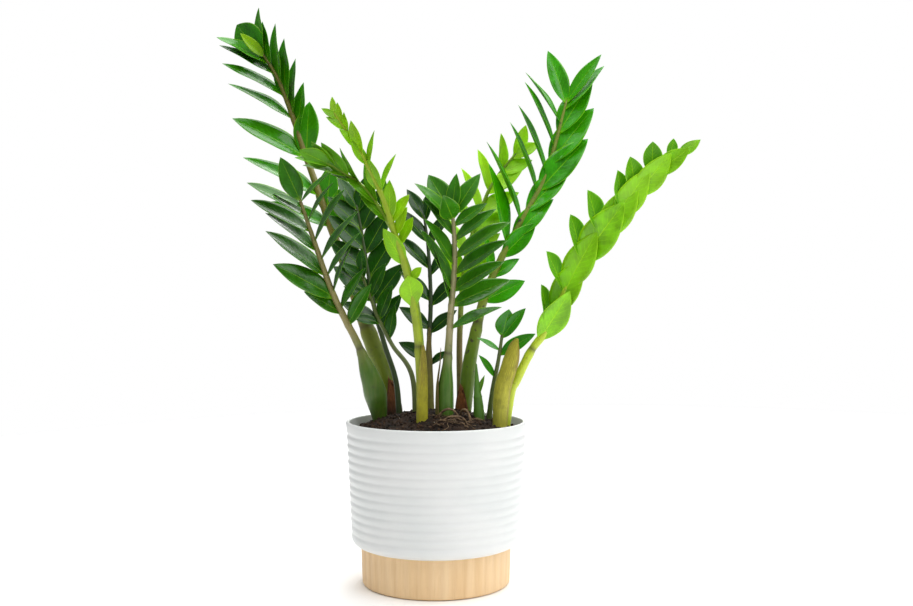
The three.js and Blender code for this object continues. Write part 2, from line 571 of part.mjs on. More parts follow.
const hosts = { sheath_lime_right_line: FREE_SHEATH_LINE };
for (const frond of [...FRONDS, SHOOT]) {
  hosts[frond.name] = frond;
  layDown(frond.name, frondSolid(frond), frondSolid(frond, LEAF_GAP), frond.colour, 0.35);
}
for (const sheath of SHEATHS) {
  const host = hosts[sheath.host];
  layDown(sheath.name, sheathSolid(host, sheath), sheathSolid(host, sheath, CLEARANCE), sheath.colour, 0.7);
}
for (const root of ROOTS) {
  layDown(root.name, rootSolid(root), rootSolid(root, CLEARANCE), '#a8835a', 0.8);
}

const soil = laid.reduce((body, { grown }) => body.subtract(grown), soilSolid());
addNode('soil', largestBody(soil), '#3b2a20', 0.95);

export default plant;
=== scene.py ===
import json
import random
from math import atan2, cos, exp, floor, hypot, pi, radians, sin, sqrt

import bpy
import numpy as np
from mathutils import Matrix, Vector, noise


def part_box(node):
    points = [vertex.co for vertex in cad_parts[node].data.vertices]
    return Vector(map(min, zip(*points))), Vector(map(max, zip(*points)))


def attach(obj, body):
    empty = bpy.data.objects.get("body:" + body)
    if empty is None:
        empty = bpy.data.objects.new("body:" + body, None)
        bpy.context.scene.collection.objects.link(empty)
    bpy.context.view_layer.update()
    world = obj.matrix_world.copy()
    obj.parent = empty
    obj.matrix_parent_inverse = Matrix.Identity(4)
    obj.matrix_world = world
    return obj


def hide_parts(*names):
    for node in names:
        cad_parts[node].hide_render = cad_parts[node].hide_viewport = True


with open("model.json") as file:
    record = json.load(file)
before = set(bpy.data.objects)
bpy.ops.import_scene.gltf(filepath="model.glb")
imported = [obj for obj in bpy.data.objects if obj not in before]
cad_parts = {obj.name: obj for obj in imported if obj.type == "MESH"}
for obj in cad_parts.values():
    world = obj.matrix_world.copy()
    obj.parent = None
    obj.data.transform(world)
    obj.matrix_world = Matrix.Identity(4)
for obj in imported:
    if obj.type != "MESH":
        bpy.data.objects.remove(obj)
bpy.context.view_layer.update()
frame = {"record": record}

MM = 0.001
SLOT_OF = {row["node"]: row["material_slot"] for row in frame["record"]["subparts"]}

# -------------------- the frame's own sizes
pot_low, pot_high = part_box("pot")
base_low, base_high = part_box("base")
RIM_Z = pot_high.z
RIM_R = (pot_high.x - pot_low.x) / 2
BASE_R = (base_high.x - base_low.x) / 2
BASE_TOP = base_high.z
FOOT_Z = pot_low.z

# -------------------- shared design values, in mm
PLANTED_RIM = 101.5  # rim radius that the places of the stems were laid out for
ROOTING = -31  # how deep stems reach into the soil, from the rim
LEFT, RIGHT = -1, 1
SPREAD = RIM_R / MM / PLANTED_RIM


def planted(p):
    """A place on the plant: X and Y spread with the pot, Z is measured from the rim."""
    return np.array([p[0] * SPREAD * MM, p[1] * SPREAD * MM, RIM_Z + p[2] * MM])


def along(knots, t):
    """Value at t (0..1) on evenly spaced knots; a plain number is the same everywhere."""
    if np.isscalar(knots):
        return float(knots)
    return float(np.interp(t, np.linspace(0, 1, len(knots)), knots))


def scatter(seed):
    """Repeatable scatter between -1 and 1."""
    s = sin(seed * 12.9898 + 4.137) * 43758.5453
    return 2 * (s - floor(s)) - 1


def unit(v):
    return v / np.linalg.norm(v)


def circle(steps, shift=0):
    """Angles of even steps round a circle."""
    return [2 * pi * (k + shift) / steps for k in range(steps)]


class Spine:
    """A smooth line through given points, walked by its length from 0 to 1."""

    def __init__(self, points, steps=16):
        p = [planted(q) for q in points]
        p = [2 * p[0] - p[1], *p, 2 * p[-1] - p[-2]]
        line = []
        for i in range(1, len(p) - 2):
            a, b, c, d = p[i - 1 : i + 3]
            for t in np.linspace(0, 1, steps, endpoint=False):
                line.append(0.5 * (2 * b + (c - a) * t + (2 * a - 5 * b + 4 * c - d) * t**2
                                   + (3 * b - a - 3 * c + d) * t**3))
        line.append(p[-2])
        self.line = np.array(line)
        walked = np.concatenate([[0], np.cumsum(np.linalg.norm(np.diff(self.line, axis=0), axis=1))])
        self.length = walked[-1]
        self.walk = walked / walked[-1]

    def point(self, t):
        return np.array([np.interp(t, self.walk, self.line[:, k]) for k in range(3)])

    def sides(self, t):
        """Point, tangent, front and side directions at t, without twist."""
        ahead = unit(self.point(min(1, t + 0.01)) - self.point(max(0, t - 0.01)))
        face = np.array([0.0, -1.0, 0.0])
        front = unit(face - face.dot(ahead) * ahead)
        return self.point(t), ahead, front, unit(np.cross(ahead, front))


# -------------------- the plant
# Colours are sRGB 0..255: leaf for the blades, stem for the petiole and the rachis. ring is where the joint
# sits on the stalk, 0 for none, and marks is the strength of its dark spots. A row of leaflets has
# places (at) by share of the stalk, angle, lean and roll in degrees, length in mm and width as a share of it.
# It has as many leaflets as places, or count, with the rest worked out between them.
FRONDS = [
    dict(
        name="frond_lime_centre", leaf=(132, 194, 0), stem=[(156, 166, 20), (148, 172, 24)],
        seed=3, ring=0.3, radii=[5, 5.6, 5, 4.4, 4, 3.6, 3.2, 2.6, 2, 1.2],
        spine=[[-15, -40, ROOTING], [-16, -43, 49], [-21, -51, 114], [-30, -59, 163], [-41, -66, 200],
               [-55, -72, 244], [-77, -79, 289], [-109, -88, 337]],
        rows=[
            dict(hand=LEFT, at=[0.53, 0.66, 0.74, 0.82, 0.87, 0.93, 0.965],
                 width=[0.42, 0.4, 0.46, 0.44, 0.42, 0.42, 0.4], angle=[14, -14, -2, 9, 8, 18, 20],
                 length=[46, 42, 38, 30, 28, 24, 20], roll=[18, 20, 30, 30, 40, 40, 30], tone=-0.35),
            dict(hand=RIGHT, at=[0.4, 0.48, 0.58, 0.61, 0.65, 0.74, 0.81, 0.85, 0.92, 0.95, 0.98],
                 angle=[2, 48, 40, 33, 44, 44, 30, 10, 22, 26, 24],
                 length=[40, 22, 36, 36, 36, 44, 40, 38, 22, 22, 18],
                 width=[0.66, 0.5, 0.42, 0.4, 0.42, 0.32, 0.32, 0.42, 0.42, 0.4, 0.4],
                 roll=[5, 30, 40, 50, 40, 64, 64, 40, 40, 30, 10], belly=[1.5, 1.2, 0.9, 0.9, 0.9]),
        ]),
    dict(
        name="frond_centre", leaf=(54, 120, 18), stem=[(66, 112, 8), (160, 152, 108)],
        seed=11, ring=0.41, radii=[7, 8.5, 9.5, 8.5, 5.2, 4, 3.7, 3.4, 3.1, 2.8, 2.4, 1.6],
        spine=[[10, -20, ROOTING], [11, -23, 36], [14, -27, 80], [17, -34, 125], [21, -43, 177],
               [20, -50, 214], [18, -54, 231]],
        rows=[
            dict(hand=LEFT, at=[0.61, 0.67, 0.78, 0.9, 0.965], angle=[19, 28, 33, 33, 32],
                 length=[67, 78, 64, 54, 59], roll=[68, 66, 60, 60, 62]),
            dict(hand=RIGHT, at=[0.51, 0.61, 0.67, 0.74, 0.81, 0.88, 0.94],
                 angle=[56, 60, 47, 47, 51, 50, 54], length=[65, 72, 68, 73, 75, 58, 44],
                 roll=[70, 48, 56, 66, 62, 62, 48]),
            dict(hand=LEFT, at=[0.97, 0.99], angle=[10, 25], length=[46, 52], width=0.5, lean=[55, -20],
                 roll=[0, 10]),
            dict(hand=RIGHT, at=[0.98, 0.99], angle=[38, 12], length=[56, 44], lean=[-15, -5],
                 roll=[35, 20]),
        ]),
    dict(
        name="frond_front_left", leaf=(46, 108, 10), stem=[(70, 108, 10), (142, 132, 78)],
        seed=23, ring=0.38, radii=[6, 8.5, 13.5, 10.5, 4.6, 4, 3.7, 3.4, 3.1, 2.7, 2.2, 1.6],
        spine=[[-61, 14, ROOTING + 8], [-69, 9, 27], [-77, 5, 54], [-88, 0, 85], [-102, -7, 114],
               [-117, -14, 148], [-135, -23, 202], [-149, -32, 246]],
        rows=[
            dict(hand=LEFT, at=[0.53, 0.6, 0.69, 0.79, 0.87, 0.94, 0.97], angle=[31, 32, 31, 29, 38, 38, 39],
                 length=[50, 79, 83, 72, 74, 72, 35], roll=[44, 45, 66, 70, 70, 74, 60]),
            dict(hand=RIGHT, count=8, at=[0.48, 0.64, 0.8, 0.99], angle=[51, 50, 42, 53, 53, 42, 46, 58],
                 length=[58, 56, 57, 64, 74, 71, 54, 54], width=0.34, roll=[44, 74, 74, 76, 76, 72]),
            dict(hand=LEFT, count=1, at=0.995, angle=6, length=52, width=0.45, roll=5, lean=5),
        ]),
    dict(
        name="frond_lime_left", leaf=(84, 152, 0), stem=[(132, 142, 40), (128, 158, 36)],
        seed=131, ring=0.0, radii=[3.2, 3.4, 3.2, 2.8, 2.6, 2.4, 2, 1.8, 1.2],
        spine=[[-13, -26, ROOTING], [-14, -27, 49], [-18, -33, 114], [-27, -41, 163], [-41, -46, 200],
               [-62, -51, 238], [-79, -54, 259], [-95, -57, 270], [-111, -60, 280], [-125, -62, 284]],
        rows=[
            dict(hand=LEFT, at=[0.72, 0.78, 0.85, 0.9, 0.96], angle=[12, 16, 18, 14, 10],
                 length=[42, 44, 42, 50, 40], width=0.38, roll=[50, 55, 60, 60, 50]),
            dict(hand=RIGHT, at=[0.71, 0.78, 0.85, 0.9, 0.945, 0.965], angle=[22, 16, 13, 20, 16, 4],
                 length=[50, 48, 48, 46, 38, 36], width=[0.3, 0.3, 0.3, 0.4, 0.4, 0.55],
                 roll=[45, 50, 70, 30, 30, 5]),
        ]),
    dict(
        name="frond_dark_right", leaf=(50, 136, 20), stem=[(84, 100, 44), (92, 108, 50)],
        seed=37, ring=0.0, radii=[3.4, 3.4, 3, 2.6, 2.2, 1.6],
        spine=[[56, 0, ROOTING], [63, -3, 29], [70, -9, 68], [74, -14, 97]],
        rows=[
            dict(hand=LEFT, at=[0.62, 0.86], angle=[40, 62], length=[34, 30], width=0.3, roll=55),
            dict(hand=RIGHT, at=[0.82, 0.97], angle=[45, 28], length=[48, 46], width=0.36, roll=40),
            dict(hand=RIGHT, count=1, at=0.99, angle=4, length=32, width=0.72, roll=0),
        ]),
    dict(
        name="frond_lime_right", leaf=(124, 196, 0), stem=[(198, 216, 56), (184, 210, 40)],
        seed=41, ring=0.3, radii=[4.5, 5.2, 5, 4.2, 3.6, 3.2, 2.8, 2.4, 2, 1.4],
        spine=[[75, -14, ROOTING], [83, -16, 30], [90, -18, 47], [106, -23, 80], [122, -27, 103],
               [142, -34, 147], [161, -41, 182], [185, -47, 212], [215, -54, 249], [252, -61, 286],
               [272, -66, 298]],
        rows=[
            dict(hand=LEFT, at=[0.37, 0.48, 0.58, 0.66, 0.75, 0.81, 0.87, 0.93], width=0.56, belly=1.25,
                 tone=-0.7, angle=[31, 44, 45, 49, 41, 50, 42, 31], length=[52, 52, 53, 55, 46, 42, 39, 26],
                 roll=[64, 62, 60, 58, 45, 30, 10, 30]),
            dict(hand=RIGHT, at=[0.33, 0.41, 0.49, 0.57, 0.65, 0.72, 0.8, 0.88, 0.965], width=0.46,
                 angle=[-8, -1, 2, 5, -3, -3, 0, 6, 1], length=[68, 71, 73, 84, 75, 67, 62, 48, 28],
                 roll=[20, 16, 12, 10, 12, 14, 18, 20, 10], lean=13),
        ]),
    dict(
        name="frond_tall_right", leaf=(56, 154, 0), stem=[(98, 128, 10), (126, 138, 44)],
        seed=53, ring=0.33, marks=0.8, radii=[7.4, 8.6, 8.4, 7.2, 5.2, 4.4, 3.9, 3.5, 3, 2.6, 2.2, 1.4],
        spine=[[28, 28, ROOTING], [37, 28, 55], [46, 29, 101], [56, 32, 141], [77, 36, 188], [103, 43, 235],
               [127, 50, 279], [141, 56, 325], [154, 62, 373]],
        rows=[
            dict(hand=LEFT, at=[0.45, 0.55, 0.63, 0.72, 0.78, 0.86, 0.93, 0.99], width=0.36,
                 angle=[30, 38, 47, 49, 40, 39, 45, 33], length=[58, 100, 102, 90, 89, 84, 73, 66],
                 roll=[62, 62, 71, 72, 72, 74, 64, 8]),
            dict(hand=RIGHT, at=[0.39, 0.46, 0.52, 0.58, 0.66, 0.73, 0.81, 0.9, 0.97, 0.99],
                 angle=[48, 30, 18, 15, 14, 11, 16, 19, 27, 20],
                 length=[54, 38, 56, 66, 76, 84, 86, 76, 70, 70],
                 width=[0.43, 0.43, 0.43, 0.43, 0.43, 0.43, 0.43, 0.43, 0.36, 0.27],
                 roll=[5, 25, 5, 28, 30, 28, 34, 28, 46, 40]),
        ]),
    dict(
        name="frond_dark_mid_left", leaf=(32, 84, 10), stem=[(112, 112, 66), (96, 108, 54)],
        seed=61, ring=0.0, radii=[2.8, 3, 2.8, 2.4, 2, 1.4],
        spine=[[-24, 6, ROOTING], [-27, 8, 47], [-50, 11, 84], [-65, 12, 112], [-74, 13, 135],
               [-85, 14, 164]],
        rows=[
            dict(hand=LEFT, at=[0.72, 0.85, 0.97], angle=[48, 40, 30], length=[34, 36, 34], width=0.42,
                 roll=[40, 30]),
            dict(hand=RIGHT, at=[0.62, 0.74, 0.87, 0.98], angle=[40, 45, 42, 20], length=[40, 44, 44, 36],
                 width=0.42, roll=[30, 45, 30]),
        ]),
    dict(
        name="frond_dark_centre", leaf=(20, 62, 10), stem=[(58, 66, 36), (44, 60, 32)],
        seed=71, ring=0.0, radii=[3.4, 3.4, 3, 2.8, 2.4, 2, 1.4],
        spine=[[-6, 28, ROOTING], [-9, 32, 72], [-7, 36, 135], [-10, 43, 194], [-15, 48, 235]],
        rows=[
            dict(hand=LEFT, at=[0.37, 0.5, 0.62, 0.76, 0.88, 0.98], angle=[60, 55, 42, 40, 36, 22],
                 length=[40, 44, 50, 54, 52, 42], width=0.42, roll=[20, 30, 50, 30]),
            dict(hand=RIGHT, at=[0.34, 0.48, 0.6, 0.73, 0.86, 0.97], angle=[50, 45, 42, 38, 34, 20],
                 length=[30, 42, 50, 52, 50, 42], width=0.42, roll=[50, 30, 50, 40]),
        ]),
    dict(
        name="frond_dark_back_left", leaf=(24, 72, 10), stem=[(70, 80, 40), (58, 76, 36)],
        seed=83, ring=0.0, radii=[3.2, 3.4, 3, 2.8, 2.4, 2, 1.4],
        spine=[[-42, 23, ROOTING], [-46, 25, 37], [-60, 29, 83], [-72, 36, 124], [-81, 43, 171],
               [-88, 50, 212], [-95, 56, 248]],
        rows=[
            dict(hand=LEFT, at=[0.5, 0.61, 0.71, 0.81, 0.9, 0.98], angle=[42, 40, 38, 36, 34, 20],
                 length=[50, 58, 60, 58, 54, 46], width=0.46, roll=[40, 20, 30]),
            dict(hand=RIGHT, at=[0.47, 0.58, 0.69, 0.79, 0.89, 0.97], angle=[46, 44, 42, 40, 36, 26],
                 length=[50, 60, 62, 60, 56, 48], width=0.46, roll=[30, 15, 30]),
        ]),
    dict(
        name="frond_lime_back", leaf=(152, 220, 0), stem=[(128, 112, 68), (130, 160, 44)],
        seed=97, ring=0.4, radii=[3.6, 3.8, 3.6, 3.2, 2.8, 2.4, 2, 1.3],
        spine=[[27, 60, ROOTING], [27, 60, 23], [27, 63, 100], [34, 68, 183], [57, 78, 256], [74, 84, 287],
               [95, 88, 313]],
        rows=[
            dict(hand=LEFT, at=[0.52, 0.6, 0.68, 0.76, 0.84, 0.92, 0.99], angle=[32, 36, 38, 38, 36, 32, 16],
                 length=[54, 60, 62, 58, 52, 46, 40], width=0.5, roll=[50, 60, 40]),
            dict(hand=RIGHT, at=[0.5, 0.58, 0.66, 0.75, 0.83, 0.91, 0.98],
                 angle=[36, 38, 38, 36, 34, 30, 18], length=[50, 56, 58, 56, 50, 44, 38], width=0.5,
                 roll=[25, 35, 25]),
        ]),
    dict(
        name="frond_tall_left", leaf=(52, 134, 4), stem=[(116, 134, 8), (118, 112, 42)],
        seed=101, ring=0.28, radii=[9, 11, 11, 8, 5.4, 4.9, 4.4, 3.9, 3.3, 2.6, 1.5],
        spine=[[-46, 51, ROOTING], [-60, 54, 41], [-78, 59, 88], [-102, 66, 153], [-122, 75, 207],
               [-140, 84, 256], [-163, 95, 318], [-180, 102, 366], [-196, 107, 406], [-218, 113, 442]],
        rows=[
            dict(hand=LEFT, at=[0.53, 0.61, 0.71, 0.81, 0.87, 0.93, 0.96, 0.99],
                 angle=[45, 39, 39, 37, 37, 28, 28, 8], length=[82, 102, 102, 89, 87, 79, 74, 58],
                 lean=[12, 12, 12, 12, 12, 12, 12, 0], width=[0.4, 0.38, 0.36, 0.4, 0.74],
                 roll=[52, 50, 48, 58, 62, 58, 62, -25]),
            dict(hand=RIGHT, at=[0.5, 0.56, 0.71, 0.77, 0.82, 0.86, 0.9, 0.96, 0.99],
                 angle=[33, 22, 20, 22, 20, 17, 13, 20, 22], length=[67, 64, 70, 64, 70, 76, 76, 54, 58],
                 width=0.48, roll=[14, 24, 12, 48, 54, 46, 56, 44, 52]),
            dict(hand=RIGHT, count=1, at=0.985, angle=-12, length=40, width=0.34, lean=24, roll=5, tone=0.9),
        ]),
    dict(
        name="shoot_green", leaf=(96, 152, 44), stem=[(78, 120, 44), (84, 132, 40)],
        seed=7, ring=0.0, radii=[5.5, 6.6, 6.2, 4.6, 2.6, 0.7],
        spine=[[48, -16, ROOTING + 4], [48, -17, 9], [46, -18, 37], [45, -18, 65]],
        rows=[
            dict(hand=RIGHT, count=1, at=0.6, angle=18, length=26, width=0.24, roll=40),
        ]),
]
FROND = {f["name"]: f for f in FRONDS}

# Papery sheaths wrap a stem from one place along it to another; one stands free on a line of its own.
FREE_SHEATH_LINE = dict(
    spine=[[70, -25, ROOTING], [73, -28, 31], [80, -31, 59], [87, -33, 81], [92, -34, 93]],
    radii=[4.5, 6.5, 7.5, 8, 7.6, 5.5])
SHEATHS = [
    dict(name="sheath_lime_centre", host=FROND["frond_lime_centre"], start=0.03, end=0.3, turn=40, span=190,
         point=2.2, flare=2.5, thick=0.9, ragged=0.5,
         foot=(176, 172, 34), tip=(112, 96, 30), edge=(176, 178, 70)),
    dict(name="sheath_centre", host=FROND["frond_centre"], start=0.05, end=0.42, turn=-80, span=90,
         point=1.8, flare=3, thick=0.9, ragged=0.6,
         foot=(128, 122, 66), tip=(106, 84, 48), edge=(120, 96, 56)),
    dict(name="sheath_tall_right", host=FROND["frond_tall_right"], start=0.02, end=0.15, turn=-30, span=200,
         point=1.2, flare=2.5, thick=0.9, ragged=1.6,
         foot=(58, 32, 18), tip=(178, 108, 56), edge=(58, 34, 22)),
    dict(name="sheath_lime_right", host=FREE_SHEATH_LINE, start=0.0, end=1.0, turn=-25, span=220,
         point=8, flare=0, thick=1.1, ragged=0.2,
         foot=(188, 186, 66), tip=(146, 138, 16), edge=(128, 92, 56)),
    dict(name="sheath_dark_centre", host=FROND["frond_dark_centre"], start=0.05, end=0.5, turn=0, span=170,
         point=2, flare=2, thick=0.9, ragged=0.6,
         foot=(130, 128, 62), tip=(100, 84, 48), edge=(120, 108, 60)),
    dict(name="sheath_tall_left", host=FROND["frond_tall_left"], start=0.03, end=0.14, turn=25, span=170,
         point=1.2, flare=2, thick=0.9, ragged=1.6,
         foot=(46, 26, 16), tip=(168, 98, 50), edge=(46, 28, 20)),
]

# Surface roots: thin loops that rise from the soil and go back into it.
ROOTS = [
    dict(name="root_front", path=[[2, -45, -21], [8, -50, 3], [20, -53, 10], [32, -49, 5], [38, -44, -21]]),
    dict(name="root_left", path=[[-2, -32, -21], [3, -37, 7], [14, -42, 17], [24, -38, 9], [29, -34, -21]]),
    dict(name="root_right", path=[[24, -18, -21], [27, -26, 9], [33, -32, 15], [38, -37, 6], [42, -42, -21]]),
]
ROOT_RADII = [1.2, 1.4, 1.3, 1.2, 1]


# -------------------- colours and node trees
def linear(colour):
    """sRGB 0..255 to linear RGBA."""
    out = []
    for c in colour:
        c = c / 255
        out.append(c / 12.92 if c <= 0.04045 else ((c + 0.055) / 1.055) ** 2.4)
    return (*out, 1.0)


def shade(colour, k):
    return tuple(min(255, max(0, c * k)) for c in colour)


def tinted(colour, factors, added=(0, 0, 0)):
    """Each channel times its own factor, plus its own amount."""
    return tuple(k * c + more for c, k, more in zip(colour, factors, added))


MIX_COLOUR_A, MIX_COLOUR_B, MIX_COLOUR_OUT = 6, 7, 2  # a Mix node's sockets when it mixes colours


class Tree:
    """A small helper that writes a node tree as nested calls."""

    def __init__(self, name):
        self.material = bpy.data.materials.new(name)
        self.material.use_nodes = True
        self.nodes = self.material.node_tree.nodes
        self.links = self.material.node_tree.links
        self.shader = self.nodes["Principled BSDF"]

    def feed(self, socket, value):
        if isinstance(value, bpy.types.NodeSocket):
            self.links.new(value, socket)
        else:
            socket.default_value = value

    def add(self, kind, inputs=(), **props):
        node = self.nodes.new(kind)
        for key, value in props.items():
            setattr(node, key, value)
        for key, value in dict(inputs).items():
            self.feed(node.inputs[key], value)
        return node

    def attribute(self, name):
        return self.add("ShaderNodeAttribute", attribute_name=name).outputs["Fac"]

    def math(self, operation, a, b=0.0, clamp=False):
        return self.add("ShaderNodeMath", {0: a, 1: b}, operation=operation, use_clamp=clamp).outputs[0]

    def times(self, a, b):
        return self.math("MULTIPLY", a, b)

    def span(self, value, low, high, out_low=0.0, out_high=1.0, smooth=True):
        node = self.add("ShaderNodeMapRange", {"Value": value, "From Min": low, "From Max": high,
                                               "To Min": out_low, "To Max": out_high})
        node.interpolation_type = "SMOOTHSTEP" if smooth else "LINEAR"
        return node.outputs["Result"]

    def mix(self, factor, a, b):
        node = self.add("ShaderNodeMix", data_type="RGBA")
        self.feed(node.inputs["Factor"], factor)
        self.feed(node.inputs[MIX_COLOUR_A], a)
        self.feed(node.inputs[MIX_COLOUR_B], b)
        return node.outputs[MIX_COLOUR_OUT]

    def wash(self, body, mask, share, colour, clamp=False):
        """The body with a colour mixed in, by share where the mask is 1."""
        return self.mix(self.math("MULTIPLY", mask, share, clamp), body, linear(colour))

    def place(self, scale=(1, 1, 1)):
        """Object position, stretched."""
        where = self.add("ShaderNodeTexCoord").outputs["Object"]
        return self.add("ShaderNodeMapping", {"Vector": where, "Scale": scale}).outputs["Vector"]

    def noise(self, scale, detail=3.0, vector=None, roughness=0.5, distortion=0.0):
        inputs = {"Scale": scale, "Detail": detail, "Roughness": roughness, "Distortion": distortion}
        inputs["Vector"] = vector if vector is not None else self.place()
        return self.add("ShaderNodeTexNoise", inputs).outputs["Fac"]

    def bump(self, height, distance, strength, after=None):
        inputs = {"Height": height, "Distance": distance, "Strength": strength}
        if after is not None:
            inputs["Normal"] = after
        return self.add("ShaderNodeBump", inputs).outputs["Normal"]

    def finish(self, **sockets):
        for key, value in sockets.items():
            self.feed(self.shader.inputs[key.replace("_", " ")], value)
        return self.material


# -------------------- materials
# Noise scales are per metre and bump distances in metres.
SIDE_VEINS = 11.0  # on each side of a blade
VEIN_SLANT = 2.6  # spacings that a vein leans forward on its way to the margin
FULL_TURN = 6.2832  # radians
LEAF_ROUGHNESS = 0.2
LIME_ROUGHNESS = 0.4


def leaf_material(name, colour, roughness):
    """A waxy blade: pale midrib, faint side veins, light margin, paler underside."""
    t = Tree(name)
    u = t.attribute("leaf_u")
    v = t.attribute("leaf_v")
    top = t.attribute("leaf_top")
    own = t.attribute("leaf_own")
    off = t.math("ABSOLUTE", v)
    mottle = t.noise(60.0, 4.0)
    fine = t.noise(420.0, 2.0)
    body = t.mix(t.span(mottle, 0.3, 0.7), linear(shade(colour, 0.85)), linear(shade(colour, 1.1)))
    body = t.wash(body, own, 0.6, tinted(colour, (1.22, 1.1, 0.8)))
    # A row's tone darkens its blades where it is negative and yellows them where it is positive.
    tone = t.attribute("leaf_tone")
    body = t.wash(body, tone, -1.0, tinted(colour, (0.5, 0.72, 0.6)), clamp=True)
    body = t.wash(body, tone, 1.0, tinted(colour, (1, 1, 1), (96, 62, 0)), clamp=True)
    # Side veins leave the midrib at a slant and fade towards the margin.
    slant = t.math("SUBTRACT", t.times(u, SIDE_VEINS), t.times(off, VEIN_SLANT))
    slant = t.math("ADD", slant, t.times(fine, 0.35))
    wave = t.math("SINE", t.times(slant, FULL_TURN))
    vein = t.times(t.span(wave, 0.75, 1.0), t.span(off, 0.05, 0.9, 1.0, 0.15))
    body = t.wash(body, vein, 0.26, shade(colour, 1.45))
    rib_width = t.span(u, 0.0, 1.0, 0.075, 0.025, smooth=False)
    rib = t.span(t.math("DIVIDE", off, rib_width), 0.35, 1.1, 1.0, 0.0)
    pale = tinted(colour, (0.66, 0.66, 0.66), (96, 108, 14))
    body = t.wash(body, rib, 0.6, pale)
    margin = t.span(off, 0.9, 0.97)
    body = t.wash(body, margin, 0.75, pale)
    body = t.mix(t.span(u, 0.14, 0.0), body, linear(pale))
    under = t.wash(linear(tinted(colour, (0.75, 0.75, 0.75), (36, 46, 8))), rib, 0.5, pale)
    body = t.mix(top, under, body)
    height = t.math("ADD", t.times(rib, -1.0), t.times(vein, -0.22))
    normal = t.bump(height, 0.0004, 0.6)
    normal = t.bump(t.noise(70.0, 2.0), 0.0012, 0.4, normal)
    rough = t.span(mottle, 0.3, 0.7, roughness - 0.04, roughness + 0.08)
    rough = t.math("ADD", rough, t.times(t.math("SUBTRACT", 1.0, top), 0.2))
    return t.finish(Base_Color=body, Roughness=rough, Normal=normal, Specular_IOR_Level=0.4)


def stem_material(name, petiole, rachis, marks):
    """A fleshy stalk: streaked, its colour turning from petiole to rachis, with a dark ring at the joint."""
    t = Tree(name)
    s = t.attribute("stem_t")
    turn = t.attribute("stem_turn")
    ring = t.attribute("stem_ring")
    streak = t.noise(300.0, 3.0, t.place((1, 1, 0.08)))
    blotch = t.noise(45.0, 4.0)
    body = t.mix(turn, linear(petiole), linear(rachis))
    body = t.wash(body, t.span(streak, 0.4, 0.75), 0.16, shade(rachis, 1.12))
    body = t.wash(body, t.span(blotch, 0.5, 0.72), 0.3, shade(petiole, 0.72))
    body = t.wash(body, t.span(t.noise(160.0, 2.0), 0.62, 0.7), marks, (58, 38, 44))
    body = t.wash(body, t.span(s, 0.1, 0.0), 0.7, shade(petiole, 0.5))
    body = t.wash(body, ring, 0.75, (62, 54, 34))
    normal = t.bump(streak, 0.0006, 0.5)
    normal = t.bump(t.noise(900.0, 2.0), 0.0002, 0.5, normal)
    return t.finish(Base_Color=body, Roughness=t.span(blotch, 0.3, 0.7, 0.36, 0.52), Normal=normal,
                    Coat_Weight=0.12, Coat_Roughness=0.3)


def sheath_material(name, foot, tip, edge):
    """A papery scale: fibres along it, drying towards the tip."""
    t = Tree(name)
    s = t.attribute("sheath_s")
    a = t.attribute("sheath_a")
    across = t.add("ShaderNodeCombineXYZ", {"X": t.times(a, 9.0), "Y": t.times(s, 0.9)})
    fibre = t.noise(9.0, 4.0, across.outputs[0], 0.65)
    blotch = t.noise(120.0, 4.0)
    dryness = t.math("ADD", s, t.times(t.math("SUBTRACT", blotch, 0.5), 0.5))
    body = t.mix(t.span(dryness, 0.1, 0.95), linear(foot), linear(tip))
    body = t.wash(body, t.span(fibre, 0.42, 0.68), 0.55, shade(foot, 1.25))
    body = t.wash(body, t.span(blotch, 0.52, 0.7), 0.3, shade(foot, 0.6))
    side = t.times(t.math("ABSOLUTE", a), 2.0)
    body = t.wash(body, t.span(side, 0.55, 0.95), 0.5, edge)
    normal = t.bump(fibre, 0.0009, 0.7)
    normal = t.bump(t.noise(700.0, 3.0), 0.0003, 0.5, normal)
    return t.finish(Base_Color=body, Roughness=t.span(fibre, 0.3, 0.7, 0.5, 0.72), Normal=normal)


def root_material(name):
    t = Tree(name)
    blotch = t.noise(260.0, 4.0)
    body = t.mix(t.span(blotch, 0.35, 0.65), linear((72, 54, 38)), linear((142, 116, 86)))
    normal = t.bump(t.noise(900.0, 4.0), 0.0006, 0.8)
    return t.finish(Base_Color=body, Roughness=0.82, Normal=normal)


def soil_material(name):
    """Dark, crumbly potting mix; each crumb carries its own tint."""
    t = Tree(name)
    tint = t.attribute("tint")
    blotch = t.noise(90.0, 6.0, roughness=0.7)
    grain = t.noise(700.0, 5.0, roughness=0.75)
    body = t.mix(t.span(blotch, 0.32, 0.68), linear((12, 9, 7)), linear((56, 40, 29)))
    body = t.mix(t.span(grain, 0.6, 0.75), body, linear((138, 104, 78)))
    body = t.mix(t.span(tint, 0.3, 0.75), body, linear((78, 58, 42)))
    body = t.mix(t.span(tint, 0.9, 0.96), body, linear((206, 196, 180)))
    normal = t.bump(blotch, 0.002, 0.8)
    normal = t.bump(grain, 0.0008, 0.9, normal)
    return t.finish(Base_Color=body, Roughness=t.span(grain, 0.3, 0.7, 0.8, 0.98), Normal=normal,
                    Specular_IOR_Level=0.25)


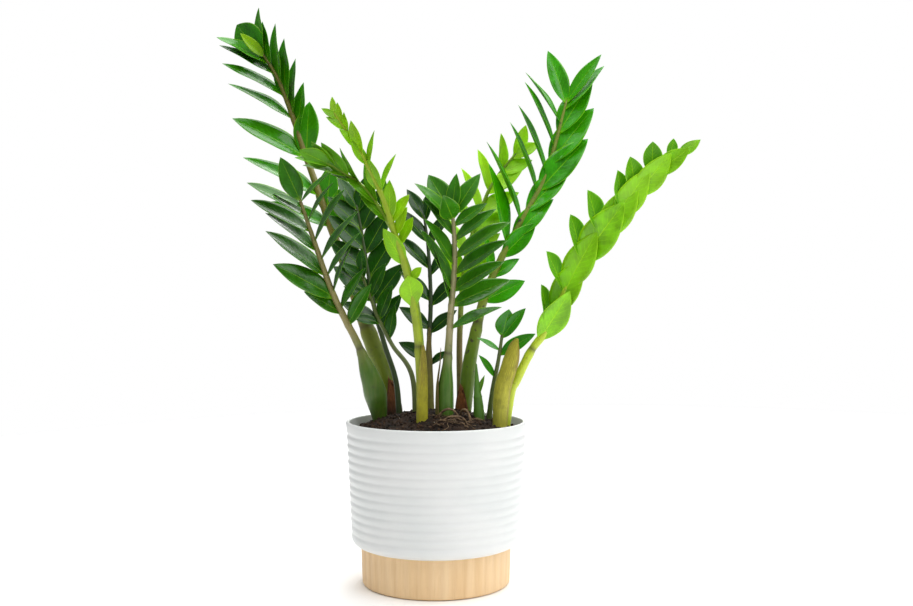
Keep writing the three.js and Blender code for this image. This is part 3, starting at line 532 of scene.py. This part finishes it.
def glaze_material(name):
    """Smooth white satin shell, faintly uneven, with painted shade in the grooves."""
    t = Tree(name)
    groove = t.attribute("groove")
    cloud = t.noise(14.0, 4.0)
    speck = t.noise(900.0, 2.0)
    body = t.mix(t.span(cloud, 0.3, 0.7), linear((222, 225, 224)), linear((230, 231, 230)))
    # Painted shade: grey laid into each groove by its depth.
    body = t.wash(body, groove, 0.06, (200, 204, 205))
    body = t.wash(body, t.span(speck, 0.7, 0.76), 0.12, (170, 170, 166))
    normal = t.bump(t.noise(120.0, 3.0), 0.0003, 0.3)
    normal = t.bump(speck, 0.00008, 0.4, normal)
    return t.finish(Base_Color=body, Roughness=t.span(cloud, 0.3, 0.7, 0.36, 0.46), Normal=normal,
                    Coat_Weight=0.1, Coat_Roughness=0.3)


def wood_material(name):
    """Pale wood with fine upright grain; the flutes slightly darker with painted shade."""
    t = Tree(name)
    flute = t.attribute("flute")
    grain = t.noise(95.0, 6.0, t.place((1, 1, 0.07)), 0.65, 0.4)
    fine = t.noise(520.0, 4.0, t.place((1, 1, 0.05)), 0.7)
    cloud = t.noise(22.0, 3.0, t.place((1, 1, 0.4)))
    body = t.mix(t.span(grain, 0.32, 0.68), linear((236, 200, 150)), linear((246, 214, 168)))
    body = t.wash(body, t.span(fine, 0.5, 0.68), 0.14, (196, 152, 104))
    body = t.wash(body, t.span(cloud, 0.45, 0.7), 0.3, (250, 220, 178))
    # Painted shade: the flutes darkened by their depth.
    body = t.wash(body, flute, 0.16, (206, 162, 112))
    normal = t.bump(fine, 0.0003, 0.5)
    normal = t.bump(grain, 0.0004, 0.4, normal)
    return t.finish(Base_Color=body, Roughness=t.span(grain, 0.3, 0.7, 0.5, 0.64), Normal=normal)


# -------------------- mesh helpers
ON_AXIS = 1e-7  # a smaller radius is a point on the axis


def show(thing):
    bpy.context.scene.collection.objects.link(thing)


def new_piece(name, shape, material, node=None, slot=None, smooth=True):
    """A mesh object from (verts, faces, point attributes), parented to the root body; the node's part is
    hidden.
    """
    verts, faces, attributes = shape
    mesh = bpy.data.meshes.new(name)
    mesh.from_pydata([tuple(v) for v in verts], [], faces)
    mesh.update()
    for key, values in attributes.items():
        layer = mesh.attributes.new(key, "FLOAT", "POINT")
        layer.data.foreach_set("value", np.asarray(values, dtype=np.float32))
    mesh.polygons.foreach_set("use_smooth", [smooth] * len(mesh.polygons))
    mesh.materials.append(material)
    piece = bpy.data.objects.new(name, mesh)
    show(piece)
    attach(piece, "root")
    if node:
        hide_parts(node)
    slot or SLOT_OF[node]


def ring_faces(rings, sides):
    """Quads between successive closed rings, with a face over each end."""
    faces = []
    for i in range(rings - 1):
        a, b = i * sides, (i + 1) * sides
        for j in range(sides):
            k = (j + 1) % sides
            faces.append((a + j, a + k, b + k, b + j))
    faces.append(tuple(reversed(range(sides))))
    faces.append(tuple((rings - 1) * sides + j for j in range(sides)))
    return faces


def lathe(outline, sides):
    """Verts and faces of an outline of (radius, z) turned about Z; ends on the axis are closed by a fan."""
    verts, faces, rows = [], [], []
    for radius, z in outline:
        if radius < ON_AXIS:
            rows.append([len(verts)])
            verts.append((0.0, 0.0, z))
            continue
        rows.append(list(range(len(verts), len(verts) + sides)))
        verts += [(radius * cos(turn), radius * sin(turn), z) for turn in circle(sides)]
    for a, b in zip(rows, rows[1:]):
        for j in range(sides):
            k = (j + 1) % sides
            if len(a) == 1:
                faces.append((a[0], b[k], b[j]))
            elif len(b) == 1:
                faces.append((a[j], a[k], b[0]))
            else:
                faces.append((a[j], a[k], b[k], b[j]))
    return verts, faces


def arc(centre_r, centre_z, radius, start, end, steps):
    """Points on a rounded corner, angles in degrees."""
    turns = [radians(start + (end - start) * i / steps) for i in range(steps + 1)]
    return [(centre_r + radius * cos(a), centre_z + radius * sin(a)) for a in turns]


def gather(parts):
    """Joins (verts, faces, attributes) parts into one."""
    verts, faces, attributes = [], [], {}
    for v, f, a in parts:
        start = len(verts)
        verts += list(v)
        faces += [tuple(i + start for i in face) for face in f]
        for key, values in a.items():
            attributes.setdefault(key, []).extend(values)
    return verts, faces, attributes


# -------------------- leaflets
LEAF_STEPS = 16
LEAF_STRIPS = 8
LEAF_MID_THICK = 0.9  # mm
LEAF_EDGE_THICK = 0.35
LEAF_FOOT = 1.1  # least half width in the lower half of a blade, in mm
LEAF_TIP = 0.15  # and in the upper half
LEAF_CURL = radians(8)
LEAF_TWIST = 9  # most that a blade turns along its length, in degrees
LEAF_ROUND = 0.85  # under 1 makes the outline fuller
LEAF_FOLD = 0.26  # rise of the margins, as a share of the half width
LEAF_WAVE = 0.05  # and their ripple
LAST_PLACE = 0.995  # no leaflet sits further along its stalk


def leaflet(place, hand, spec):
    """One blade as a closed thin shell: verts, faces and its point attributes."""
    point, tangent, front, side = place
    angle, lean, roll = (radians(spec[k]) for k in ("angle", "lean", "roll"))
    ahead = cos(angle) * tangent + sin(angle) * hand * side
    ahead = unit(cos(lean) * ahead + sin(lean) * front)
    normal = unit(front - front.dot(ahead) * ahead)
    upward = tangent - tangent.dot(ahead) * ahead
    upward = unit(upward - upward.dot(normal) * normal)
    normal = cos(roll) * normal + sin(roll) * upward
    across = np.cross(ahead, normal)
    length, width = spec["length"] * MM, spec["width"] * MM
    seed = spec["seed"]
    verts, lengthwise, crosswise, tops = [], [], [], []
    strips = np.linspace(-1, 1, LEAF_STRIPS + 1)
    for i in range(LEAF_STEPS + 1):
        s = i / LEAF_STEPS
        inside = 0 < i < LEAF_STEPS
        half = 0.5 * width * sin(pi * s ** spec["belly"]) ** LEAF_ROUND if inside else 0
        half = max(half, (LEAF_FOOT if s < 0.5 else LEAF_TIP) * MM)
        twist = radians(LEAF_TWIST * scatter(seed + 0.71)) * s
        n = cos(twist) * normal + sin(twist) * across
        w = cos(twist) * across - sin(twist) * normal
        middle = point + ahead * length * s * (1 - LEAF_CURL * LEAF_CURL * s * s / 6)
        middle = middle - normal * length * s * s * LEAF_CURL / 2
        swell = sin(pi * s) ** 0.5 if inside else 0
        for face_side in (1, -1):
            for v in strips * face_side:
                ripple = sin(9 * s + 5 * scatter(seed + 0.2) + (2 if v > 0 else 0))
                fold = LEAF_FOLD * half * abs(v) ** 1.5 + LEAF_WAVE * half * v * v * ripple
                thick = (LEAF_EDGE_THICK + (LEAF_MID_THICK - LEAF_EDGE_THICK) * (1 - abs(v)) ** 2) * MM
                thick *= 0.35 + 0.65 * swell
                verts.append(middle + w * half * v + n * (fold + face_side * thick / 2))
                lengthwise.append(s)
                crosswise.append(v)
                tops.append(1.0 if face_side > 0 else 0.0)
    faces = ring_faces(LEAF_STEPS + 1, 2 * (LEAF_STRIPS + 1))
    return verts, faces, dict(leaf_u=lengthwise, leaf_v=crosswise, leaf_top=tops,
                              leaf_own=[0.5 + 0.5 * scatter(seed + 0.9)] * len(verts),
                              leaf_tone=[spec["tone"]] * len(verts))


def row_places(row):
    """Where each leaflet of a row stands in it, from 0 to 1."""
    count = row["count"] if "count" in row else len(row["at"])
    return [i / (count - 1) if count > 1 else 0 for i in range(count)]


def row_leaflets(frond, spine, index, row):
    for i, k in enumerate(row_places(row)):
        seed = frond["seed"] + 31 * index + i
        length = along(row["length"], k)
        spec = dict(
            angle=along(row["angle"], k) + 3 * scatter(seed),
            lean=along(row.get("lean", 12), k) + 7 * scatter(seed + 0.3),
            roll=along(row["roll"], k) + 4 * scatter(seed + 0.6),
            width=length * along(row.get("width", 0.38), k),
            length=length,
            belly=along(row.get("belly", 0.9), k),
            tone=row.get("tone", 0.0),
            seed=seed,
        )
        yield leaflet(spine.sides(min(LAST_PLACE, along(row["at"], k))), row["hand"], spec)


# -------------------- stalks
# Places and widths here are shares of the stalk's length.
RING_WIDTH = 0.008
COLLAR_WIDTH = 0.012
COLLAR_BELOW = 0.02  # from the joint's ring down to the collar's middle
KNUCKLE_WIDTH = 0.008
RADIUS_SAMPLES = 400
SMOOTHING = 31  # samples
STALK_END = 0.7  # share of the radius left at each end


def peak(distance, width):
    """A bell that is 1 at no distance."""
    return exp(-((distance / width) ** 2))


def stalk(spine, radii, joint=0.0, knuckles=(), steps=90, sides=20, lumps=0.03):
    """A round stalk with a ring at its joint and a slight knuckle under each leaflet."""
    verts, lengthwise, rings, turns = [], [], [], []
    samples = np.linspace(0, 1, RADIUS_SAMPLES)
    knots = np.interp(samples, np.linspace(0, 1, len(radii)), radii)
    kernel = np.hanning(SMOOTHING) / np.hanning(SMOOTHING).sum()
    knots = np.convolve(np.pad(knots, SMOOTHING // 2, mode="edge"), kernel, "valid")
    for i in range(steps + 1):
        t = i / steps
        point, ahead, front, side = spine.sides(t)
        radius = float(np.interp(t, samples, knots)) * MM
        ring = peak(t - joint, RING_WIDTH) if joint else 0.0
        collar = peak(t - joint + COLLAR_BELOW, COLLAR_WIDTH) if joint else 0.0
        radius *= 1 + 0.1 * collar - 0.06 * ring
        radius *= 1 + 0.1 * max([peak(t - k, KNUCKLE_WIDTH) for k in knuckles] or [0])
        if i in (0, steps):
            radius *= STALK_END
        for angle in circle(sides):
            where = Vector((3 * cos(angle), 3 * sin(angle), 14 * t + radii[0]))
            bulge = 1 + lumps * noise.noise(where)
            verts.append(point + radius * bulge * (sin(angle) * front - cos(angle) * side))
            lengthwise.append(t)
            rings.append(ring)
            turns.append(min(1, max(0, (t - joint) * 6 + 0.5)))
    return verts, ring_faces(steps + 1, sides), dict(stem_t=lengthwise, stem_ring=rings, stem_turn=turns)


def make_frond(frond):
    name = frond["name"]
    spine = Spine(frond["spine"])
    knuckles = [along(row["at"], k) for row in frond["rows"] for k in row_places(row)]
    stem_look = stem_material(name + "_stalk_skin", *frond["stem"], marks=frond.get("marks", 0.25))
    new_piece(name + "_stalk", stalk(spine, frond["radii"], frond["ring"], knuckles), stem_look, node=name)
    roughness = LIME_ROUGHNESS if SLOT_OF[name] == "lime_leaf" else LEAF_ROUGHNESS
    leaf_look = leaf_material(name + "_blade", frond["leaf"], roughness)
    for index, row in enumerate(frond["rows"]):
        label = f"{name}_leaflets_{'left' if row['hand'] == LEFT else 'right'}_{index + 1}"
        new_piece(label, gather(row_leaflets(frond, spine, index, row)), leaf_look, node=name)


for frond in FRONDS:
    make_frond(frond)

# -------------------- sheaths
SHEATH_STEPS = 44
SHEATH_STRIPS = 24
SHEATH_GAP = 0.6  # mm between stem and sheath
SHEATH_DRAW_IN = 0.86  # share of the wrap that is gone at the tip
SHEATH_RIPPLE = 0.35  # mm
FRAY = 7  # mm that a tip's fibres stand out by, times how ragged the sheath is


def sheath(spec):
    """A thin wrap whose edges draw in towards a frayed tip."""
    host = spec["host"]
    spine = Spine(host["spine"])
    start_turn = radians(spec["turn"])
    verts, lengthwise, crosswise = [], [], []
    for i in range(SHEATH_STEPS + 1):
        up = i / SHEATH_STEPS
        t = spec["start"] + (spec["end"] - spec["start"]) * up
        point, ahead, front, side = spine.sides(t)
        spread = radians(spec["span"]) * (1 - SHEATH_DRAW_IN * up ** spec["point"])
        stem = along(host["radii"], t)
        for layer in (1, -1):
            for j in range(SHEATH_STRIPS + 1):
                x = (j / SHEATH_STRIPS - 0.5) * layer
                fray = spec["ragged"] * up * noise.noise(Vector((x * 16, up * 1.5, spec["turn"])))
                angle = start_turn + x * spread
                ripple = SHEATH_RIPPLE * noise.noise(Vector((x * 14, up * 5, spec["turn"] * 0.1)))
                radius = stem + SHEATH_GAP + spec["flare"] * up * up + spec["thick"] / 2 + ripple
                radius += layer * 0.28 * spec["thick"]
                place = point + radius * MM * (cos(angle) * front + sin(angle) * side)
                verts.append(place + ahead * fray * FRAY * MM)
                lengthwise.append(up)
                crosswise.append(x)
    faces = ring_faces(SHEATH_STEPS + 1, 2 * (SHEATH_STRIPS + 1))
    return verts, faces, dict(sheath_s=lengthwise, sheath_a=crosswise)


for spec in SHEATHS:
    look = sheath_material(spec["name"] + "_paper", spec["foot"], spec["tip"], spec["edge"])
    new_piece(spec["name"] + "_scale", sheath(spec), look, node=spec["name"])

# -------------------- pot
POT_WALL = 4 * MM
POT_FLOOR = 5 * MM
POT_SIDES = 160
SHELL_FLARE = 7 * MM
SHOULDER_RISE = 10 * MM
GROOVES = 13
GROOVE_DEPTH = 0.9 * MM
GROOVE_STEPS = 12  # points to a groove
RIM_BAND = 9 * MM
LIP = 1.7 * MM  # radius of the rim's two rounded edges
UNDER_LIP = 8 * MM  # from the rim down to where the lip ends inside
CORNER = 3 * MM  # slanted edge of the foot and of the floor
CAVITY_BENDS = [4, 9, 13, 18]  # mm above the shoulder where the cavity widens
CAVITY_POINTS = [22, 18, 15, 13, 11, 9, 7, 4]  # the same, for the outline
CLEARANCE = 0.3 * MM
BASE_WALL = 4 * MM

low_radius = RIM_R - SHELL_FLARE
foot_radius = BASE_R - BASE_WALL - CLEARANCE
shoulder_z = BASE_TOP + CLEARANCE
floor_z = FOOT_Z + POT_FLOOR


def shell_radius(z):
    """Outer radius of the white shell, without its grooves."""
    return low_radius + SHELL_FLARE * (z - shoulder_z) / (RIM_Z - shoulder_z)


def cavity_radius(z):
    """Inner radius of the pot: narrow in the foot, then a wall's thickness inside the shell."""
    foot = foot_radius - POT_WALL
    shell = shell_radius(max(z, shoulder_z)) - POT_WALL - GROOVE_DEPTH
    lowest, highest = CAVITY_BENDS[0], CAVITY_BENDS[-1]
    k = min(1, max(0, (z - shoulder_z - lowest * MM) / ((highest - lowest) * MM)))
    return foot + (shell - foot) * k * k * (3 - 2 * k)


def make_pot():
    outline = [(0, FOOT_Z), (foot_radius - CORNER, FOOT_Z), (foot_radius, FOOT_Z + CORNER),
               (foot_radius, shoulder_z)]
    groove_start = shoulder_z + SHOULDER_RISE
    outline += arc(shell_radius(groove_start) - SHOULDER_RISE, groove_start, SHOULDER_RISE, -90, 0, 14)
    pitch = (RIM_Z - RIM_BAND - groove_start) / GROOVES
    groove_at = {}
    for i in range(1, GROOVES * GROOVE_STEPS + 1):
        z = groove_start + pitch * i / GROOVE_STEPS
        depth = (0.5 - 0.5 * cos(2 * pi * i / GROOVE_STEPS)) ** 1.3
        groove_at[len(outline)] = depth
        outline.append((shell_radius(z) - GROOVE_DEPTH * depth, z))
    outline += arc(RIM_R - LIP, RIM_Z - LIP, LIP, 0, 90, 8)
    outline += arc(RIM_R - POT_WALL + LIP, RIM_Z - LIP, LIP, 90, 180, 8)
    for z in [RIM_Z - UNDER_LIP] + [shoulder_z + rise * MM for rise in CAVITY_POINTS]:
        outline.append((cavity_radius(z), z))
    floor_radius = cavity_radius(floor_z)
    outline += [(floor_radius, floor_z + CORNER), (floor_radius - CORNER, floor_z), (0, floor_z)]
    verts, faces = lathe(outline, POT_SIDES)
    groove = []
    for i, (radius, z) in enumerate(outline):
        groove += [groove_at.get(i, 0.0)] * (1 if radius < ON_AXIS else POT_SIDES)
    glaze = glaze_material("white_glaze_skin")
    new_piece("pot_shell", (verts, faces, dict(groove=groove)), glaze, node="pot")


make_pot()

# -------------------- base
BASE_TAPER = 1.5 * MM
BASE_FOOT_ROUND = 2.5 * MM
BASE_EDGE_ROUND = 1 * MM
BASE_BANDS = 8  # steps up the side
FLUTES = 40
FLUTE_SIDES = 10  # faces to a flute
FLUTE_DEPTH = 0.9 * MM
FLUTE_FADE = 6 * MM  # height over which the flutes grow to full depth


def make_base():
    inner = BASE_R - BASE_WALL
    foot = BASE_R - BASE_TAPER - BASE_FOOT_ROUND
    outline = [(0, 0), (foot, 0)]
    outline += arc(foot, BASE_FOOT_ROUND, BASE_FOOT_ROUND, -90, 0, 8)
    outline += [(BASE_R - BASE_TAPER * (1 - k / BASE_BANDS), BASE_TOP * k / BASE_BANDS)
                for k in range(1, BASE_BANDS)]
    outline += arc(BASE_R - BASE_EDGE_ROUND, BASE_TOP - BASE_EDGE_ROUND, BASE_EDGE_ROUND, 0, 90, 5)
    outline += [(inner, BASE_TOP), (inner, BASE_WALL), (0, BASE_WALL)]
    verts, faces = lathe(outline, FLUTES * FLUTE_SIDES)
    flute = []
    shaped = []
    for x, y, z in verts:
        radius = hypot(x, y)
        wave = 0.0
        if radius > inner + 0.5 * MM:
            wave = (0.5 - 0.5 * cos(FLUTES * atan2(y, x))) ** 1.5
            k = (radius - FLUTE_DEPTH * wave * min(1, z / FLUTE_FADE)) / radius
            x, y = x * k, y * k
        flute.append(wave)
        shaped.append((x, y, z))
    new_piece("base_cup", (shaped, faces, dict(flute=flute)), wood_material("pale_wood_grain"), node="base")


make_base()

# -------------------- soil
SOIL_DROP = 14  # mm from the rim down to the soil's edge
SOIL_MOUND = 25  # mm that it rises towards the plant
SOIL_SIDES = 200
SOIL_RINGS = 70
SOIL_ROUGHNESS = 1.5  # mm
CRUMBS = 2600
CRUMB_EDGE = 3  # mm kept free inside the wall
GRIT_SHARE = 0.012  # share of the crumbs that are white grit
GRIT_TINT = 1.0
PALEST_CRUMB = 0.88  # tint that no crumb but grit passes

wall_top = RIM_Z - SOIL_DROP * MM
top_radius = cavity_radius(wall_top) - 2 * CLEARANCE


def soil_height(x, y):
    """Height of the soil in mm above the ground, for a place in mm."""
    edge_share = hypot(x, y) / (RIM_R / MM)
    mound = SOIL_MOUND * (1 - edge_share**1.8)
    lumps = 1.1 * sin(x * 0.11 + 1) * cos(y * 0.13) + 0.7 * sin(x * 0.27 - y * 0.23)
    return RIM_Z / MM - SOIL_DROP + mound + lumps


def make_soil_bed(dirt):
    floor_radius = cavity_radius(floor_z)
    outline = [(0, floor_z + CLEARANCE), (floor_radius - 4 * MM, floor_z + CLEARANCE),
               (floor_radius - 2 * CLEARANCE, floor_z + 4 * MM)]
    for rise in CAVITY_BENDS:
        z = shoulder_z + rise * MM
        outline.append((cavity_radius(z) - 2 * CLEARANCE, z + CLEARANCE))
    outline += [(top_radius * (1 - i / SOIL_RINGS), wall_top) for i in range(SOIL_RINGS + 1)]
    verts, faces = lathe(outline, SOIL_SIDES)
    shaped = []
    for x, y, z in verts:
        if z > wall_top - 1e-6:
            rough = SOIL_ROUGHNESS * noise.fractal(Vector((x, y, 0.3)) * 160, 0.7, 2.1, 5)
            z = (soil_height(x / MM, y / MM) + rough) * MM
        shaped.append((x, y, z))
    new_piece("soil_bed", (shaped, faces, dict(tint=[0.0] * len(shaped))), dirt, node="soil")


def icosahedron():
    """Verts and faces of a lump about 1 in radius: two poles and two rings of five."""
    verts = [(0, 0, -1), (0, 0, 1)]
    for z, shift in ((-0.447, 0), (0.447, 0.5)):
        verts += [(cos(a) * 0.894, sin(a) * 0.894, z) for a in circle(5, shift)]
    faces = []
    for k in range(5):
        n = (k + 1) % 5
        faces += [(0, 2 + n, 2 + k), (1, 7 + k, 7 + n), (2 + k, 2 + n, 7 + k), (2 + n, 7 + n, 7 + k)]
    return verts, faces


LUMP_VERTS, LUMP_FACES = icosahedron()


def crumb(x, y, size, lift, tint):
    """One lump of soil, bark or white grit, in mm."""
    z = soil_height(x, y) + lift
    flat = random.uniform(0.5, 1.0)
    turn = random.uniform(0, pi)
    points = []
    for a, b, c in LUMP_VERTS:
        k = size * random.uniform(0.7, 1.15)
        px = k * (a * cos(turn) - b * sin(turn) * flat)
        py = k * (a * sin(turn) + b * cos(turn) * flat)
        points.append(((x + px) * MM, (y + py) * MM, (z + k * c * 0.75) * MM))
    return points, LUMP_FACES, dict(tint=[tint] * len(points))


def make_crumbs(dirt):
    crumbs = []
    for _ in range(CRUMBS):
        radius = (top_radius / MM - CRUMB_EDGE) * sqrt(random.random())
        turn = random.uniform(0, 2 * pi)
        size = 0.5 + 2.0 * random.random() ** 3
        tint = min(PALEST_CRUMB, random.random() ** 1.6)
        if random.random() < GRIT_SHARE:
            tint, size = GRIT_TINT, random.uniform(0.5, 1.1)
        lift = random.uniform(-0.2, 0.9)
        crumbs.append(crumb(radius * cos(turn), radius * sin(turn), size, lift, tint))
    new_piece("soil_crumbs", gather(crumbs), dirt, node="soil", smooth=False)


random.seed(5)
potting_mix = soil_material("potting_mix")
make_soil_bed(potting_mix)
make_crumbs(potting_mix)

# -------------------- roots
ROOTLETS = 26
ROOTLET_STEP = 4.2  # mm between the points of a rootlet
ROOTLET_EDGE = 6  # mm kept free inside the wall


def rootlet_path():
    """Seven points that wander over the soil in front of the stems."""
    x, y = random.uniform(2, 38), random.uniform(-58, -26)
    heading = random.uniform(0, 2 * pi)
    path = []
    for k in range(7):
        arch = 2.2 * sin(pi * k / 6) * random.random()
        path.append([x / SPREAD, y / SPREAD, soil_height(x, y) - RIM_Z / MM + 0.4 + arch])
        heading += random.uniform(-0.7, 0.7)
        x += ROOTLET_STEP * cos(heading)
        y += ROOTLET_STEP * sin(heading)
    return path


def make_rootlets(bark):
    rootlets = []
    for _ in range(ROOTLETS):
        path = rootlet_path()
        if max(hypot(p[0], p[1]) for p in path) < top_radius / MM - ROOTLET_EDGE:
            thin = random.uniform(0.25, 0.5)
            line = Spine(path, 6)
            rootlets.append(stalk(line, [thin, thin, thin * 0.5], steps=24, sides=6, lumps=0.2))
    new_piece("rootlets", gather(rootlets), bark, slot="root_skin")


root_bark = root_material("root_skin_bark")
for root in ROOTS:
    strand = stalk(Spine(root["path"]), ROOT_RADII, steps=60, sides=12, lumps=0.35)
    new_piece(root["name"] + "_strand", strand, root_bark, node=root["name"])
make_rootlets(root_bark)

# -------------------- floor, lights and camera
FLOOR_SIDES = 96
FLOOR_R = 1.7
FLOOR_CENTRE = (0.35, 0.2, -0.0005)
SKY_LIGHT = 0.26  # the sky's strength as a light
SKY_SEEN = 1.0  # and as the camera sees it
MIDDLE = (0, 0, 0.35)
EYE = Vector((23, -1186, 320)) * MM
SENSOR = 36  # mm
LENS = 41.4  # mm
CAMERA_DIP = 0.32  # degrees below the horizon


def make_floor():
    look = Tree("studio_floor")
    tone = look.noise(2.0, 2.0)
    look.finish(Base_Color=look.mix(tone, linear((250, 250, 249)), linear((253, 253, 253))), Roughness=0.7)
    rim = [(FLOOR_R * cos(a), FLOOR_R * sin(a), 0) for a in circle(FLOOR_SIDES)]
    mesh = bpy.data.meshes.new("floor")
    mesh.from_pydata(rim, [], [tuple(range(FLOOR_SIDES))])
    mesh.materials.append(look.material)
    disc = bpy.data.objects.new("floor", mesh)
    disc.location = FLOOR_CENTRE
    show(disc)


def area_light(name, place, target, size, watts):
    data = bpy.data.lights.new(name, "AREA")
    data.shape = "DISK"
    data.size = size
    data.energy = watts
    light = bpy.data.objects.new(name, data)
    light.location = place
    light.rotation_mode = "QUATERNION"
    light.rotation_quaternion = (Vector(target) - Vector(place)).to_track_quat("-Z", "Y")
    show(light)


def make_sky():
    """White to the camera, and a weaker light for everything else."""
    world = bpy.data.worlds.new("studio")
    bpy.context.scene.world = world
    world.use_nodes = True
    nodes, links = world.node_tree.nodes, world.node_tree.links
    sky = nodes["Background"]
    sky.inputs["Color"].default_value = (1, 1, 1, 1)
    ray = nodes.new("ShaderNodeLightPath")
    strength = nodes.new("ShaderNodeMix")
    strength.inputs["A"].default_value = SKY_LIGHT
    strength.inputs["B"].default_value = SKY_SEEN
    links.new(ray.outputs["Is Camera Ray"], strength.inputs["Factor"])
    links.new(strength.outputs["Result"], sky.inputs["Strength"])


def make_camera():
    data = bpy.data.cameras.new("camera")
    data.sensor_width = SENSOR
    data.lens = LENS
    camera = bpy.data.objects.new("camera", data)
    camera.location = EYE
    camera.rotation_euler = (radians(90 - CAMERA_DIP), 0, 0)
    show(camera)
    bpy.context.scene.camera = camera


make_floor()
area_light("overhead", (0.45, 0.2, 2.6), (0.0, 0.3, 0.0), size=4.8, watts=146)
area_light("key", (1.5, -1.3, 1.2), MIDDLE, size=0.9, watts=6.5)
area_light("back", (0.2, 1.5, 1.2), MIDDLE, size=1.0, watts=12)
make_sky()
make_camera()
bpy.context.scene.view_settings.view_transform = "Standard"
